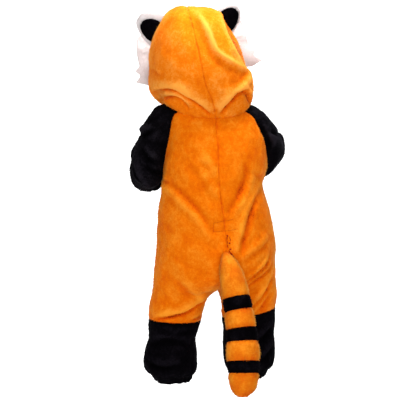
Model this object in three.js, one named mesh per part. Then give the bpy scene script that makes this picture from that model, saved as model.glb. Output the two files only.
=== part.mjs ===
// Hooded one-piece plush pyjamas with an animal tail, for a toddler about 90 cm tall, in the hollow
// form they keep when worn: two backs, two fronts, raglan sleeves, gathered lower legs, a two-piece
// hood with ears and cheek ruffs, a stuffed ringed tail and a buttoned front placket.
// Millimetres, +Z up. The wearer faces +Y and x < 0 is the wearer's left. The origin is the middle
// of the neck, at the height of the nape, where the garment hangs on its wearer.
import * as THREE from "three";

// ---- Driving sizes --------------------------------------------------------------------------
const CLOTH = 3; // plush pile and its backing
const SEAM = 0.3; // between two sewn pieces
const ON_TOP = 0.7; // between a panel and what lies on it
const DEG = Math.PI / 180;
const LEFT = -1;
const RIGHT = 1;
const BACK = -1;
const FRONT = 1;

const PANEL_COLUMNS = 10; // from a centre seam to a raglan or side seam
const SLEEVE_COLUMNS = 18; // once round the arm
const SLEEVE_ROWS = 10; // below the underarm
const LEG_GATHERS = 14; // at each ankle, two columns to a gather
const LEG_ROWS = 10;
const HOOD_ROWS = 14; // from the neck to the crown seam
const ROUNDNESS = 0.93; // power of sine and cosine in a trunk ring, under 1 is squarer

// Rings of the trunk from the neck to the seat. Each reaches `left`, `right`, `back` and `front` of
// its middle at `shift`. `turn` is how far its seams stand round to the wearer's right, in degrees.
// `raglan` is where the sleeve seam crosses it, in degrees from a centre seam, and `rise` how much
// of the neck's lift to the shoulders it takes.
const TRUNK = [
  { z: 0, left: 98, right: 98, back: 68, front: 64, shift: -18, turn: 11, raglan: 47, rise: 1 },
  { z: -16, left: 99, right: 106, back: 80, front: 76, shift: -11, turn: 7, raglan: 59, rise: 0.85 },
  { z: -34, left: 104, right: 111, back: 88, front: 85, shift: -6, turn: 5, raglan: 64, rise: 0.65 },
  { z: -54, left: 108, right: 115, back: 94, front: 91, shift: -2, turn: 4, raglan: 68, rise: 0.45 },
  { z: -75, left: 112, right: 118, back: 98, front: 95, shift: 0, turn: 3.5, raglan: 72, rise: 0.28 },
  { z: -96, left: 114, right: 119, back: 102, front: 94, shift: 0, turn: 3.5, raglan: 77, rise: 0.15 },
  { z: -116, left: 115, right: 117, back: 104, front: 93, shift: 0, turn: 4, raglan: 84, rise: 0.05 },
  { z: -133, left: 116, right: 112, back: 106, front: 94, shift: 0, turn: 4.5, raglan: 90, rise: 0 },
  { z: -150, left: 118, right: 108, back: 107, front: 97, shift: 0, turn: 5, raglan: 90, rise: 0 },
  { z: -170, left: 119, right: 113, back: 109, front: 101, shift: 0, turn: 6, raglan: 90, rise: 0 },
  { z: -194, left: 122, right: 121, back: 111, front: 107, shift: 0, turn: 7, raglan: 90, rise: 0 },
  { z: -218, left: 126, right: 126, back: 112, front: 109, shift: 0, turn: 8.5, raglan: 90, rise: 0 },
  { z: -243, left: 127, right: 131, back: 114, front: 110, shift: 0, turn: 9, raglan: 90, rise: 0 },
  { z: -268, left: 128, right: 136, back: 117, front: 110, shift: 0, turn: 10, raglan: 90, rise: 0 },
  { z: -294, left: 129, right: 138, back: 120, front: 108, shift: 0, turn: 10.5, raglan: 90, rise: 0 },
  { z: -318, left: 131, right: 138, back: 120, front: 105, shift: 0, turn: 8, raglan: 90, rise: 0 },
  { z: -338, left: 134, right: 138, back: 117, front: 101, shift: 0, turn: 5, raglan: 90, rise: 0 },
];
const UNDERARM = 7; // row of TRUNK where the raglan seams meet the side seam
const ARM_TURN = 6; // the arms are turned with the chest, in degrees
const NECK_LIFT_BACK = 30; // the shoulder point of the neck above the nape
const NECK_LIFT_FRONT = 41;
const NECK_FRONT_DROP = -11; // the throat below the nape
const NECK_SHARPNESS = 2.5; // power of the sine in the neck's rise to the shoulder

// The seat turns under between the last trunk ring and the crotch, in these steps of a quarter turn.
const SEAT_TURNS = [22.5, 45, 67.5];

// Rings of the orange part of each leg. `inner` and `outer` are heights at the inseam and side seam.
const THIGH = {
  [LEFT]: [
    { inner: -387, outer: -402, x: -67, half: 75, back: 76, front: 72 },
    { inner: -408, outer: -420, x: -80, half: 66, back: 73, front: 69 },
    { inner: -433, outer: -438, x: -86, half: 62, back: 70, front: 66 },
    { inner: -457, outer: -453, x: -88, half: 60, back: 67, front: 63 },
  ],
  [RIGHT]: [
    { inner: -387, outer: -394, x: 75, half: 67, back: 76, front: 72 },
    { inner: -406, outer: -403, x: 78, half: 64, back: 73, front: 69 },
    { inner: -427, outer: -414, x: 79, half: 62, back: 70, front: 66 },
    { inner: -450, outer: -428, x: 78, half: 61, back: 67, front: 63 },
  ],
};

// Sections of each dark lower leg, from the knee seam down to the gathered hem.
const SHIN = {
  [LEFT]: [
    { z: -455, x: -88, half: 60, back: 67, front: 63 },
    { z: -478, x: -92, half: 56, back: 63, front: 60 },
    { z: -503, x: -96, half: 53, back: 62, front: 59 },
    { z: -530, x: -99, half: 58, back: 67, front: 62 },
    { z: -551, x: -100, half: 60, back: 69, front: 63 },
    { z: -568, x: -98, half: 57, back: 64, front: 59 },
    { z: -582, x: -95, half: 48, back: 54, front: 51 },
    { z: -591, x: -93, half: 41, back: 46, front: 44 },
    { z: -598, x: -92, half: 38, back: 43, front: 41 },
  ],
  [RIGHT]: [
    { z: -439, x: 78, half: 61, back: 67, front: 63 },
    { z: -468, x: 79, half: 58, back: 63, front: 60 },
    { z: -497, x: 78, half: 57, back: 63, front: 60 },
    { z: -520, x: 79, half: 59, back: 67, front: 62 },
    { z: -540, x: 80, half: 58, back: 67, front: 61 },
    { z: -556, x: 80, half: 54, back: 62, front: 57 },
    { z: -569, x: 79, half: 47, back: 53, front: 50 },
    { z: -579, x: 78, half: 41, back: 46, front: 44 },
    { z: -587, x: 78, half: 38, back: 43, front: 41 },
  ],
};

// The crown of each sleeve, from the neck over the shoulder to the level of the underarm, one
// point for each trunk ring down to there. `deep` is how far the row bellies out to the back.
const CROWN = {
  [LEFT]: [
    { x: -116, y: 0, z: 30, deep: 0 },
    { x: -133, y: 0, z: 19, deep: 7 },
    { x: -145, y: 2, z: 5, deep: 15 },
    { x: -155, y: 4, z: -12, deep: 24 },
    { x: -161, y: 8, z: -31, deep: 32 },
    { x: -169, y: 12, z: -53, deep: 40 },
    { x: -178, y: 16, z: -76, deep: 46 },
    { x: -184, y: 22, z: -100, deep: 48 },
  ],
  [RIGHT]: [
    { x: 80, y: 0, z: 28, deep: 0 },
    { x: 98, y: 2, z: 19, deep: 6 },
    { x: 115, y: 5, z: 6, deep: 12 },
    { x: 128, y: 8, z: -8, deep: 18 },
    { x: 139, y: 12, z: -22, deep: 23 },
    { x: 146, y: 17, z: -36, deep: 25 },
    { x: 154, y: 22, z: -51, deep: 24 },
    { x: 160, y: 28, z: -66, deep: 20 },
  ],
};
// Where `deep` points at the underarm; at the neck it points straight back.
const BELLY = { [LEFT]: [-0.25, -0.62, -0.74], [RIGHT]: [0.45, -0.85, -0.25] };
const SLEEVE_ROUNDNESS = 0.84;

// Sections of each sleeve in front of the elbow: centre, direction of travel, half width and height.
const FOREARM = {
  [LEFT]: [
    { x: -148, y: 42, z: -124, dx: 0.02, dy: 0.98, dz: -0.1, wide: 38, tall: 45 },
    { x: -144, y: 76, z: -122, dx: 0.25, dy: 0.95, dz: 0.15, wide: 37, tall: 41 },
    { x: -130, y: 108, z: -113, dx: 0.6, dy: 0.75, dz: 0.28, wide: 35, tall: 37 },
    { x: -104, y: 132, z: -101, dx: 0.8, dy: 0.55, dz: 0.32, wide: 32, tall: 33 },
    { x: -82, y: 146, z: -91, dx: 0.86, dy: 0.45, dz: 0.33, wide: 28, tall: 29 },
    { x: -71, y: 152, z: -87, dx: 0.86, dy: 0.42, dz: 0.33, wide: 24, tall: 25 },
  ],
  [RIGHT]: [
    { x: 143, y: 46, z: -70, dx: 0.02, dy: 0.98, dz: 0.05, wide: 25, tall: 34 },
    { x: 134, y: 80, z: -67, dx: -0.25, dy: 0.95, dz: 0.2, wide: 28, tall: 34 },
    { x: 116, y: 111, z: -64, dx: -0.6, dy: 0.75, dz: 0.28, wide: 33, tall: 35 },
    { x: 91, y: 134, z: -56, dx: -0.8, dy: 0.55, dz: 0.32, wide: 31, tall: 32 },
    { x: 69, y: 148, z: -50, dx: -0.86, dy: 0.45, dz: 0.33, wide: 28, tall: 28 },
    { x: 58, y: 154, z: -46, dx: -0.86, dy: 0.42, dz: 0.33, wide: 24, tall: 25 },
  ],
};
const SLEEVE_START = -75; // the underarm seam's place on a forearm ring, in degrees from inward

const HOOD_COLUMNS = { body: 5, sleeve: 6 }; // along each front or back panel, and along the sleeve
// The hood's side view is a fan about the chin, from the neck line to the face edge, in degrees
// from straight ahead.
const CHIN = { y: 62, z: -12 };
const NECK_LINE = 176;
const FACE_LINE = 84;
// The hood across that fan (turn 0 to 1): `reach` is the distance from the chin to the centre seam,
// and `left` and `right` the greatest half widths.
const HOOD = [
  { turn: 0, reach: 130, left: 80, right: 86 },
  { turn: 0.12, reach: 162, left: 79, right: 93 },
  { turn: 0.28, reach: 206, left: 85, right: 100 },
  { turn: 0.45, reach: 242, left: 98, right: 103 },
  { turn: 0.63, reach: 267, left: 109, right: 102 },
  { turn: 0.77, reach: 269, left: 109, right: 97 },
  { turn: 0.89, reach: 250, left: 98, right: 88 },
  { turn: 1, reach: 219, left: 86, right: 80 },
];
const HEAD_ROLL = -12; // the head leans to the wearer's left
const HEAD_YAW = 3;
const HEAD_PIVOT = { x: -12, y: -2, z: 10 };
const NECK_BLEND = 0.38; // share of the hood's rows that takes up the neck's shape
const HEAD_BLEND = 80; // height over which the hood takes the head's lean

// Large soft folds: a curve on the garment as seen from behind or in front, from (x1, z1) to
// (x2, z2) and bowed by `bow`, a trough `depth` deep and `width` wide with a ridge of `lip` times
// the depth on its left going from the first point to the second.
const FOLDS = [
  { face: BACK, x1: -128, z1: 62, x2: -12, z2: 12, bow: 16, depth: 11, width: 8, lip: 0.8 },
  { face: BACK, x1: -112, z1: 34, x2: -58, z2: 14, bow: 12, depth: 5, width: 8, lip: 0.6 },
  { face: BACK, x1: 22, z1: 10, x2: 74, z2: 58, bow: 8, depth: 11, width: 9, lip: 0.8 },
  { face: BACK, x1: 14, z1: 236, x2: 84, z2: 118, bow: -10, depth: 7, width: 9, lip: 0.8 },
  { face: BACK, x1: -108, z1: -140, x2: 4, z2: -262, bow: -10, depth: 7, width: 18, lip: 0.8 },
  { face: BACK, x1: -66, z1: -48, x2: 22, z2: -190, bow: -8, depth: 4, width: 19, lip: 0.8 },
  { face: BACK, x1: 58, z1: -292, x2: 108, z2: -146, bow: -12, depth: 8, width: 17, lip: 0.8 },
  { face: BACK, x1: -132, z1: -448, x2: -30, z2: -392, bow: -12, depth: 8, width: 10, lip: 0.8 },
  { face: BACK, x1: 56, z1: -362, x2: 128, z2: -302, bow: -10, depth: 6, width: 9, lip: 0.8 },
  { face: BACK, x1: 66, z1: -438, x2: 132, z2: -346, bow: -8, depth: 5, width: 10, lip: 0.8 },
  { face: BACK, x1: -172, z1: -70, x2: -122, z2: -112, bow: -10, depth: 5, width: 10, lip: 0.8 },
  { face: BACK, x1: 116, z1: -40, x2: 146, z2: -104, bow: -6, depth: 5, width: 9, lip: 0.8 },
  { face: FRONT, x1: -104, z1: -150, x2: -66, z2: -236, bow: -10, depth: 5, width: 15, lip: 0.8 },
  { face: FRONT, x1: 14, z1: -232, x2: 92, z2: -150, bow: -10, depth: 5, width: 15, lip: 0.8 },
  { face: FRONT, x1: -128, z1: -430, x2: -34, z2: -396, bow: 8, depth: 6, width: 11, lip: 0.8 },
  { face: FRONT, x1: 34, z1: -392, x2: 128, z2: -420, bow: 8, depth: 6, width: 11, lip: 0.8 },
];
const FOLD_FADE = { from: 0.05, to: 0.45 }; // how squarely a surface faces before a fold shows on it
const FOLD_TAPER = 0.6; // power that keeps a fold deep nearly to its ends
const LIP_AT = 1.9; // the ridge's place beside the trough, in trough widths
const LIP_SPREAD = 1.6;
const LEG_GATHER_DEPTH = 2.2;
const WRIST_GATHER_DEPTH = 1.6;
const GATHER_HEIGHT = 26; // the gathers die out this far above a hem
const WRIST_GATHER_REACH = 1.2; // sections of the forearm that the wrist's gathers run along
const HEM_CROWDING = 1.25; // power that sets a leg's rows closer together towards the hem
const KNEE_LEVEL = 0.5; // share of a lower leg over which its rows turn from the knee seam's slant to level

// The tail's centre line and radius, from its root at the back seam to its tip.
const TAIL = [
  { x: 24, y: -127, z: -291, radius: 6 },
  { x: 30, y: -140, z: -313, radius: 19 },
  { x: 38, y: -152, z: -342, radius: 26 },
  { x: 45, y: -163, z: -377, radius: 29 },
  { x: 53, y: -174, z: -418, radius: 31 },
  { x: 58, y: -184, z: -455, radius: 33 },
  { x: 60, y: -193, z: -490, radius: 35 },
  { x: 61, y: -201, z: -523, radius: 35 },
  { x: 61, y: -207, z: -552, radius: 31 },
  { x: 60, y: -210, z: -572, radius: 23 },
  { x: 60, y: -212, z: -587, radius: 8 },
];
const TAIL_SIDES = 16;
const TAIL_RING_STEP = 15; // between two rings of the plush
// Bands of the tail from the root: the height of each one's lower end, and its colour.
const TAIL_BANDS = [
  { name: "tail_base", end: -381, dark: false },
  { name: "tail_ring_1", end: -408, dark: true },
  { name: "tail_band_1", end: -445, dark: false },
  { name: "tail_ring_2", end: -472, dark: true },
  { name: "tail_band_2", end: -512, dark: false },
  { name: "tail_ring_3", end: -537, dark: true },
  { name: "tail_tip", end: -999, dark: false },
];

// An ear's outline: half width at each height above its base. The pale front is a little larger.
const EAR = [
  { up: 0, half: 27 },
  { up: 9, half: 27.5 },
  { up: 18, half: 25 },
  { up: 26, half: 20 },
  { up: 33, half: 12 },
  { up: 36, half: 5 },
];
const EAR_COLUMNS = 6;
const EAR_CUP = 7; // how far the ear's edges bend forward
const EAR_PLUSH = 3.5;
const EAR_FRONT_SCALE = 1.18;
const EAR_CLEAR = 1.4; // from the hood to the ear's foot
// Where each ear stands on the hood's grid: the middle of its foot and the step to the foot's end.
const EAR_BASE = {
  [LEFT]: { row: 8.9, column: 9, rowStep: -1.15, columnStep: 0.6 },
  [RIGHT]: { row: 7.8, column: 9, rowStep: -1.15, columnStep: 0.6 },
};

// The cheek ruff's free edge: how far it stands out, at each share of its length from the top.
const RUFF = [
  { at: 0, left: 14, right: 12 },
  { at: 0.12, left: 48, right: 32 },
  { at: 0.25, left: 58, right: 42 },
  { at: 0.4, left: 56, right: 47 },
  { at: 0.52, left: 51, right: 46 },
  { at: 0.62, left: 47, right: 44 },
  { at: 0.7, left: 45, right: 44 },
  { at: 0.76, left: 55, right: 58 },
  { at: 0.82, left: 43, right: 45 },
  { at: 0.9, left: 56, right: 64 },
  { at: 0.96, left: 40, right: 44 },
  { at: 1, left: 18, right: 20 },
];
const RUFF_PLUSH = 4;
const RUFF_ROWS = 4;
const RUFF_TOP = 12.5; // rows of the hood's grid where the ruff starts and ends
const RUFF_FOOT = 4.5;
const RUFF_COLUMN = 15.2;
const RUFF_BACKWARD = 0.12; // how far back it leans for each step outward
const RUFF_SPREAD = 0.35; // how much it follows the hood's own outward direction
const RUFF_CLEAR = 1; // more than ON_TOP, for the curve of the hood under its root

const PLACKET_HALF = 13;
const PLACKET_LAST_ROW = 14; // row of TRUNK where the placket ends
const BUTTON_RADIUS = 8;
const BUTTON_THICK = 3.4;
const BUTTON_EDGE = 1; // bevel of its edge
const BUTTON_RIM = 1.2; // from its edge to the top of its rim
const BUTTON_DISH = { from: 2.6, deep: 0.9 }; // where the rim falls to the sunk middle, and how far
const BUTTON_SIDES = 20;
const PLACKET_TOP = 0.1; // how far down its first row it starts, clear of the hood's seam
const BUTTON_ROWS = [1, 4, 7, 9, 11, 13];

// ---- Materials ------------------------------------------------------------------------------
const plush = (name, colour, roughness) =>
  new THREE.MeshStandardMaterial({ name, color: colour, roughness, metalness: 0, side: THREE.DoubleSide });
const ORANGE = plush("orange_plush", 0xf58a14, 0.85);
const BLACK = plush("black_plush", 0x0d0c0f, 0.8);
const WHITE = plush("white_plush", 0xe9e2e4, 0.85);
const BUTTON = plush("button_resin", 0x2a1c14, 0.4);

// ---- Small helpers --------------------------------------------------------------------------
const vec = (x, y, z) => new THREE.Vector3(x, y, z);
const mix = (a, b, t) => a + (b - a) * t;
const smooth = (from, to, value) => THREE.MathUtils.smoothstep(value, from, to);
const sideName = (side) => (side === LEFT ? "left" : "right");
const range = (count) => Array.from({ length: count }, (_, i) => i);

// The value of a table's column where its key column is `at`, on a smooth curve through the rows.
function sample(table, key, at, column) {
  const last = table.length - 1;
  const rising = table[last][key] > table[0][key];
  let i = 0;
  while (i < last - 1 && (rising ? at > table[i + 1][key] : at < table[i + 1][key])) i += 1;
  const span = table[i + 1][key] - table[i][key];
  const t = THREE.MathUtils.clamp((at - table[i][key]) / span, 0, 1);
  const slope = (k) => {
    const a = table[Math.max(k - 1, 0)];
    const b = table[Math.min(k + 1, last)];
    return ((b[column] - a[column]) / (b[key] - a[key])) * span;
  };
  const t2 = t * t;
  const t3 = t2 * t;
  return (
    table[i][column] * (2 * t3 - 3 * t2 + 1) +
    slope(i) * (t3 - 2 * t2 + t) +
    table[i + 1][column] * (3 * t2 - 2 * t3) +
    slope(i + 1) * (t3 - t2)
  );
}

// A power that keeps the sign, for rings squarer than an ellipse.
const rounded = (value, power = ROUNDNESS) => Math.sign(value) * Math.abs(value) ** power;

// ---- Trunk, thighs and lower legs -----------------------------------------------------------
// The neck's lift at an angle from the nape (0) to the throat (180).
function neckLift(angle) {
  const shoulder = Math.abs(Math.sin(angle * DEG)) ** NECK_SHARPNESS;
  if (angle <= 90) return NECK_LIFT_BACK * shoulder;
  return NECK_FRONT_DROP + NECK_LIFT_FRONT * shoulder;
}

// Turns a point of a square-on arm with the chest.
const turnWithChest = (point) => point.applyAxisAngle(vec(0, 0, 1), ARM_TURN * DEG);

// A point of a trunk ring at an angle from the nape round one side to the front.
function ringPoint(ring, side, angle) {
  const turned = (side * angle + ring.turn) * DEG;
  const across = rounded(Math.sin(turned));
  const along = -rounded(Math.cos(turned));
  const x = ring.shift + across * (across < 0 ? ring.left : ring.right);
  return vec(x, along * (along < 0 ? ring.back : ring.front), ring.z + ring.rise * neckLift(angle));
}

// Where each column of the hood meets the neck, in degrees from the nape to the throat.
const neckRaglan = TRUNK[0].raglan;
const neckStops = [
  ...range(HOOD_COLUMNS.body).map((j) => (j / HOOD_COLUMNS.body) * neckRaglan),
  ...range(HOOD_COLUMNS.sleeve).map((j) => mix(neckRaglan, 180 - neckRaglan, j / HOOD_COLUMNS.sleeve)),
  ...range(HOOD_COLUMNS.body + 1).map((j) => 180 - (1 - j / HOOD_COLUMNS.body) * neckRaglan),
];

// The neck seam is straight between the hood's columns, so that every panel along it meets it.
function neckPoint(side, angle) {
  const j = Math.min(neckStops.findLastIndex((stop) => stop <= angle + 1e-9), neckStops.length - 2);
  const t = (angle - neckStops[j]) / (neckStops[j + 1] - neckStops[j]);
  return ringPoint(TRUNK[0], side, neckStops[j]).lerp(ringPoint(TRUNK[0], side, neckStops[j + 1]), t);
}

// A point of a leg ring, `u` from the inseam (0) to the side seam (1) over its back or front.
function legPoint(ring, face, side, u) {
  const angle = u * 180;
  const across = -rounded(Math.cos(angle * DEG));
  const deep = face === BACK ? ring.back : ring.front;
  const height = mix(ring.inner, ring.outer, (1 + across) / 2);
  return vec(ring.x + side * ring.half * across, face * deep * rounded(Math.sin(angle * DEG)), height);
}

// One panel from neck to knee, between a centre seam and inseam, and a raglan and side seam.
function bodyPanel(face, side) {
  const columns = range(PANEL_COLUMNS + 1).map((j) => j / PANEL_COLUMNS);
  const angleAt = (ring, u) => (face === BACK ? u * ring.raglan : 180 - u * ring.raglan);
  const trunkPoint = (ring, u) =>
    ring === TRUNK[0] ? neckPoint(side, angleAt(ring, u)) : ringPoint(ring, side, angleAt(ring, u));
  const rows = TRUNK.map((ring) => columns.map((u) => trunkPoint(ring, u)));
  const hip = TRUNK[TRUNK.length - 1];
  const top = THIGH[side][0];
  for (const turn of SEAT_TURNS) {
    const share = 1 - Math.cos(turn * DEG);
    const inner = mix(hip.z, top.inner, Math.sin(turn * DEG));
    const outer = mix(hip.z, top.outer, turn / 90);
    rows.push(
      columns.map((u) => {
        const point = trunkPoint(hip, u).lerp(legPoint(top, face, side, u), share);
        point.z = mix(inner, outer, (1 - Math.cos(u * Math.PI)) / 2);
        return point;
      }),
    );
  }
  for (const ring of THIGH[side]) rows.push(columns.map((u) => legPoint(ring, face, side, u)));
  return rows;
}

// A dark lower leg, a closed tube whose first ring lies in the knee seam's plane.
function lowerLeg(side) {
  const sections = SHIN[side];
  const knee = THIGH[side][THIGH[side].length - 1];
  const first = sections[0].z;
  const hem = sections[sections.length - 1].z;
  return range(LEG_ROWS + 1).map((i) => {
    const share = 1 - (1 - i / LEG_ROWS) ** HEM_CROWDING;
    const z = mix(first, hem, share);
    const column = (name) => sample(sections, "z", z, name);
    const tilt = ((knee.outer - knee.inner) / 2) * (1 - smooth(0, KNEE_LEVEL, share));
    const gather = LEG_GATHER_DEPTH * (1 - smooth(0, GATHER_HEIGHT, z - hem));
    return range(2 * LEG_GATHERS).map((j) => {
      const angle = (j / (2 * LEG_GATHERS)) * 2 * Math.PI;
      const across = rounded(Math.cos(angle));
      const along = rounded(Math.sin(angle));
      const wave = gather * (j % 2 ? -1 : 1);
      const deep = along < 0 ? column("back") : column("front");
      return vec(
        column("x") + side * (column("half") + wave) * across,
        (deep + wave) * along,
        z + tilt * across,
      );
    });
  });
}

// ---- Raglan sleeves -------------------------------------------------------------------------
// A shift along `way`, or against it where `amount` is negative, but always outward from the body.
const bellied = (way, amount) => vec(way.x * Math.abs(amount), way.y * amount, way.z * amount);

// A sleeve from the neck to the cuff. Its first rows run over the shoulder from the back raglan
// seam to the front one, and from the underarm on they close round the arm.
function sleeve(side) {
  const columns = range(SLEEVE_COLUMNS + 1).map((j) => j / SLEEVE_COLUMNS);
  const belly = vec(...BELLY[side]);
  const rows = range(UNDERARM + 1).map((i) => {
    const ring = TRUNK[i];
    const back = ringPoint(ring, side, ring.raglan);
    const front = ringPoint(ring, side, 180 - ring.raglan);
    const crown = CROWN[side][i];
    const share = i / UNDERARM;
    const rise = turnWithChest(vec(crown.x, crown.y, crown.z)).sub(back.clone().lerp(front, 0.5));
    const deepWay = turnWithChest(vec(0, -1, 0).lerp(belly, share).normalize());
    return columns.map((v) => {
      if (i === 0) return neckPoint(side, mix(ring.raglan, 180 - ring.raglan, v));
      const bump = mix(Math.sin(Math.PI * v), (1 - Math.cos(2 * Math.PI * v)) / 2, share);
      return back
        .clone()
        .lerp(front, v)
        .addScaledVector(rise, bump)
        .add(bellied(deepWay, crown.deep * Math.sin(2 * Math.PI * v)));
    });
  });
  const sections = FOREARM[side].map((section, k) => ({ ...section, k }));
  const last = sections.length - 1;
  for (const i of range(SLEEVE_ROWS)) {
    const at = (i / (SLEEVE_ROWS - 1)) * last;
    const column = (name) => sample(sections, "k", at, name);
    const travel = vec(column("dx"), column("dy"), column("dz")).normalize();
    const inward = vec(travel.y, -travel.x, 0).normalize().multiplyScalar(-side);
    const up = vec(0, 0, 1).addScaledVector(travel, -travel.z).normalize();
    const gather = WRIST_GATHER_DEPTH * smooth(last - WRIST_GATHER_REACH, last, at);
    rows.push(
      columns.map((v, j) => {
        const angle = SLEEVE_START * DEG - 2 * Math.PI * v;
        const wave = gather * (j % 2 ? -1 : 1);
        return turnWithChest(
          vec(column("x"), column("y"), column("z"))
            .addScaledVector(inward, (column("wide") + wave) * rounded(Math.cos(angle), SLEEVE_ROUNDNESS))
            .addScaledVector(up, (column("tall") + wave) * rounded(Math.sin(angle), SLEEVE_ROUNDNESS)),
        );
      }),
    );
  }
  return rows;
}

// ---- Hood -----------------------------------------------------------------------------------
// Leans a point of the upright hood with the head, more with height.
function leanWithHead(point) {
  const share = smooth(0, HEAD_BLEND, point.z);
  const pivot = vec(HEAD_PIVOT.x, HEAD_PIVOT.y, HEAD_PIVOT.z);
  return point
    .sub(vec(0, HEAD_PIVOT.y, HEAD_PIVOT.z))
    .applyAxisAngle(vec(0, 0, 1), HEAD_YAW * DEG * share)
    .applyAxisAngle(vec(0, 1, 0), HEAD_ROLL * DEG * share)
    .add(pivot);
}

// A point of one half of the hood, `angle` round the neck and `lift` from the neck (0) to the
// crown seam (1). A square of the two is bent into a quarter disc, so no column shrinks to a point.
function hoodPoint(side, angle, lift) {
  const a = (1 + Math.cos(angle * DEG)) / 2;
  const b = Math.sin((lift * Math.PI) / 2);
  const alongNeck = a * Math.sqrt(1 - (b * b) / 2);
  const alongFace = b * Math.sqrt(1 - (a * a) / 2);
  const radius = Math.min(1, Math.hypot(alongNeck, alongFace));
  const turn = Math.atan2(alongFace, alongNeck) / (Math.PI / 2);
  const reach = radius * sample(HOOD, "turn", turn, "reach");
  const half = sample(HOOD, "turn", turn, sideName(side)) * 2 * Math.sqrt(radius * (1 - radius));
  const line = mix(NECK_LINE, FACE_LINE, turn) * DEG;
  return leanWithHead(vec(side * half, CHIN.y + reach * Math.cos(line), CHIN.z + reach * Math.sin(line)));
}

// One half of the hood. Its first row is the neck seam itself.
function hoodHalf(side) {
  return range(HOOD_ROWS + 1).map((i) => {
    const lift = i / HOOD_ROWS;
    return neckStops.map((angle) => {
      const toNeck = ringPoint(TRUNK[0], side, angle).sub(hoodPoint(side, angle, 0));
      return hoodPoint(side, angle, lift).addScaledVector(toNeck, 1 - smooth(0, NECK_BLEND, lift));
    });
  });
}

// ---- Folds and walls ------------------------------------------------------------------------
// How far the folds lift or sink a point of the surface with this outward normal.
function foldHeight(point, normal) {
  let height = 0;
  for (const fold of FOLDS) {
    const facing = smooth(FOLD_FADE.from, FOLD_FADE.to, fold.face * normal.y);
    if (facing === 0) continue;
    const length = Math.hypot(fold.x2 - fold.x1, fold.z2 - fold.z1);
    const alongX = (fold.x2 - fold.x1) / length;
    const alongZ = (fold.z2 - fold.z1) / length;
    const t = ((point.x - fold.x1) * alongX + (point.z - fold.z1) * alongZ) / length;
    if (t < 0 || t > 1) continue;
    const off = (point.z - fold.z1) * alongX - (point.x - fold.x1) * alongZ;
    const away = (off - fold.bow * Math.sin(Math.PI * t)) / fold.width;
    const taper = Math.sin(Math.PI * t) ** FOLD_TAPER;
    const trough = -Math.exp(-away * away);
    const lip = fold.lip * Math.exp(-((away - LIP_AT) ** 2) / LIP_SPREAD);
    height += facing * taper * fold.depth * (trough + lip);
  }
  return height;
}

// Names a place to a twentieth of a millimetre, so that points that meet share a name.
const KEY_STEPS = 20;
const keyOf = (p) => [p.x, p.y, p.z].map((value) => Math.round(value * KEY_STEPS)).join();

// Outward normals of several grids, shared where their edges meet, so that walls meet too.
// Grids run row by row, and `turned` ones have their columns the other way round.
function sharedNormals(grids) {
  const sums = new Map();
  const add = (p, n) => {
    const key = keyOf(p);
    if (!sums.has(key)) sums.set(key, vec(0, 0, 0));
    sums.get(key).add(n);
  };
  for (const { rows, turned, wraps } of grids) {
    const columns = rows[0].length;
    for (const i of range(rows.length - 1)) {
      for (const j of range(wraps ? columns : columns - 1)) {
        const a = rows[i][j];
        const b = rows[i][(j + 1) % columns];
        const c = rows[i + 1][(j + 1) % columns];
        const d = rows[i + 1][j];
        const n = c.clone().sub(a).cross(b.clone().sub(d));
        if (turned) n.negate();
        for (const p of [a, b, c, d]) add(p, n);
      }
    }
  }
  return (p) => sums.get(keyOf(p)).clone().normalize();
}

// A closed wall between an outer and an inner grid of points.
function wallGeometry(outer, inner, wraps) {
  const rows = outer.length;
  const columns = outer[0].length;
  const at = (layer, i, j) => layer * rows * columns + i * columns + (j % columns);
  const faces = [];
  const quad = (a, b, c, d) => faces.push(a, b, c, a, c, d);
  const across = range(wraps ? columns : columns - 1);
  for (const i of range(rows - 1)) {
    for (const j of across) {
      quad(at(0, i, j), at(0, i + 1, j), at(0, i + 1, j + 1), at(0, i, j + 1));
      quad(at(1, i, j), at(1, i, j + 1), at(1, i + 1, j + 1), at(1, i + 1, j));
    }
    if (!wraps) {
      quad(at(0, i, 0), at(1, i, 0), at(1, i + 1, 0), at(0, i + 1, 0));
      const e = columns - 1;
      quad(at(0, i, e), at(0, i + 1, e), at(1, i + 1, e), at(1, i, e));
    }
  }
  for (const j of across) {
    quad(at(0, 0, j), at(0, 0, j + 1), at(1, 0, j + 1), at(1, 0, j));
    const e = rows - 1;
    quad(at(0, e, j), at(1, e, j), at(1, e, j + 1), at(0, e, j + 1));
  }
  const points = [...outer.flat(), ...inner.flat()];
  return solidGeometry(points, faces);
}

// A geometry from points and triangles, turned if need be so that its faces point out.
function solidGeometry(points, faces) {
  let volume = 0;
  for (let k = 0; k < faces.length; k += 3) {
    const [a, b, c] = [points[faces[k]], points[faces[k + 1]], points[faces[k + 2]]];
    volume += a.dot(b.clone().cross(c));
  }
  if (volume < 0) faces.reverse();
  const geometry = new THREE.BufferGeometry().setFromPoints(points);
  geometry.setIndex(faces);
  geometry.computeVertexNormals();
  return geometry;
}

// Draws a panel's edges in by half a seam gap, the same way for its outer and inner points.
function drawnIn(outer, inner, wraps) {
  const lastRow = outer.length - 1;
  const lastColumn = outer[0].length - 1;
  const moved = outer.map((row, i) =>
    row.map((p, j) => {
      const shift = vec(0, 0, 0);
      const pull = (q) => shift.add(q.clone().sub(p).setLength(SEAM / 2));
      if (i === 0) pull(outer[1][j]);
      if (i === lastRow) pull(outer[lastRow - 1][j]);
      if (!wraps && j === 0) pull(outer[i][1]);
      if (!wraps && j === lastColumn) pull(outer[i][lastColumn - 1]);
      return shift;
    }),
  );
  const apply = (grid) => grid.map((row, i) => row.map((p, j) => p.clone().add(moved[i][j])));
  return [apply(outer), apply(inner)];
}

// ---- The sewn panels ------------------------------------------------------------------------
const garment = new THREE.Group();
function addPiece(name, geometry, material) {
  const mesh = new THREE.Mesh(geometry, material);
  mesh.name = name;
  garment.add(mesh);
}

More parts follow.
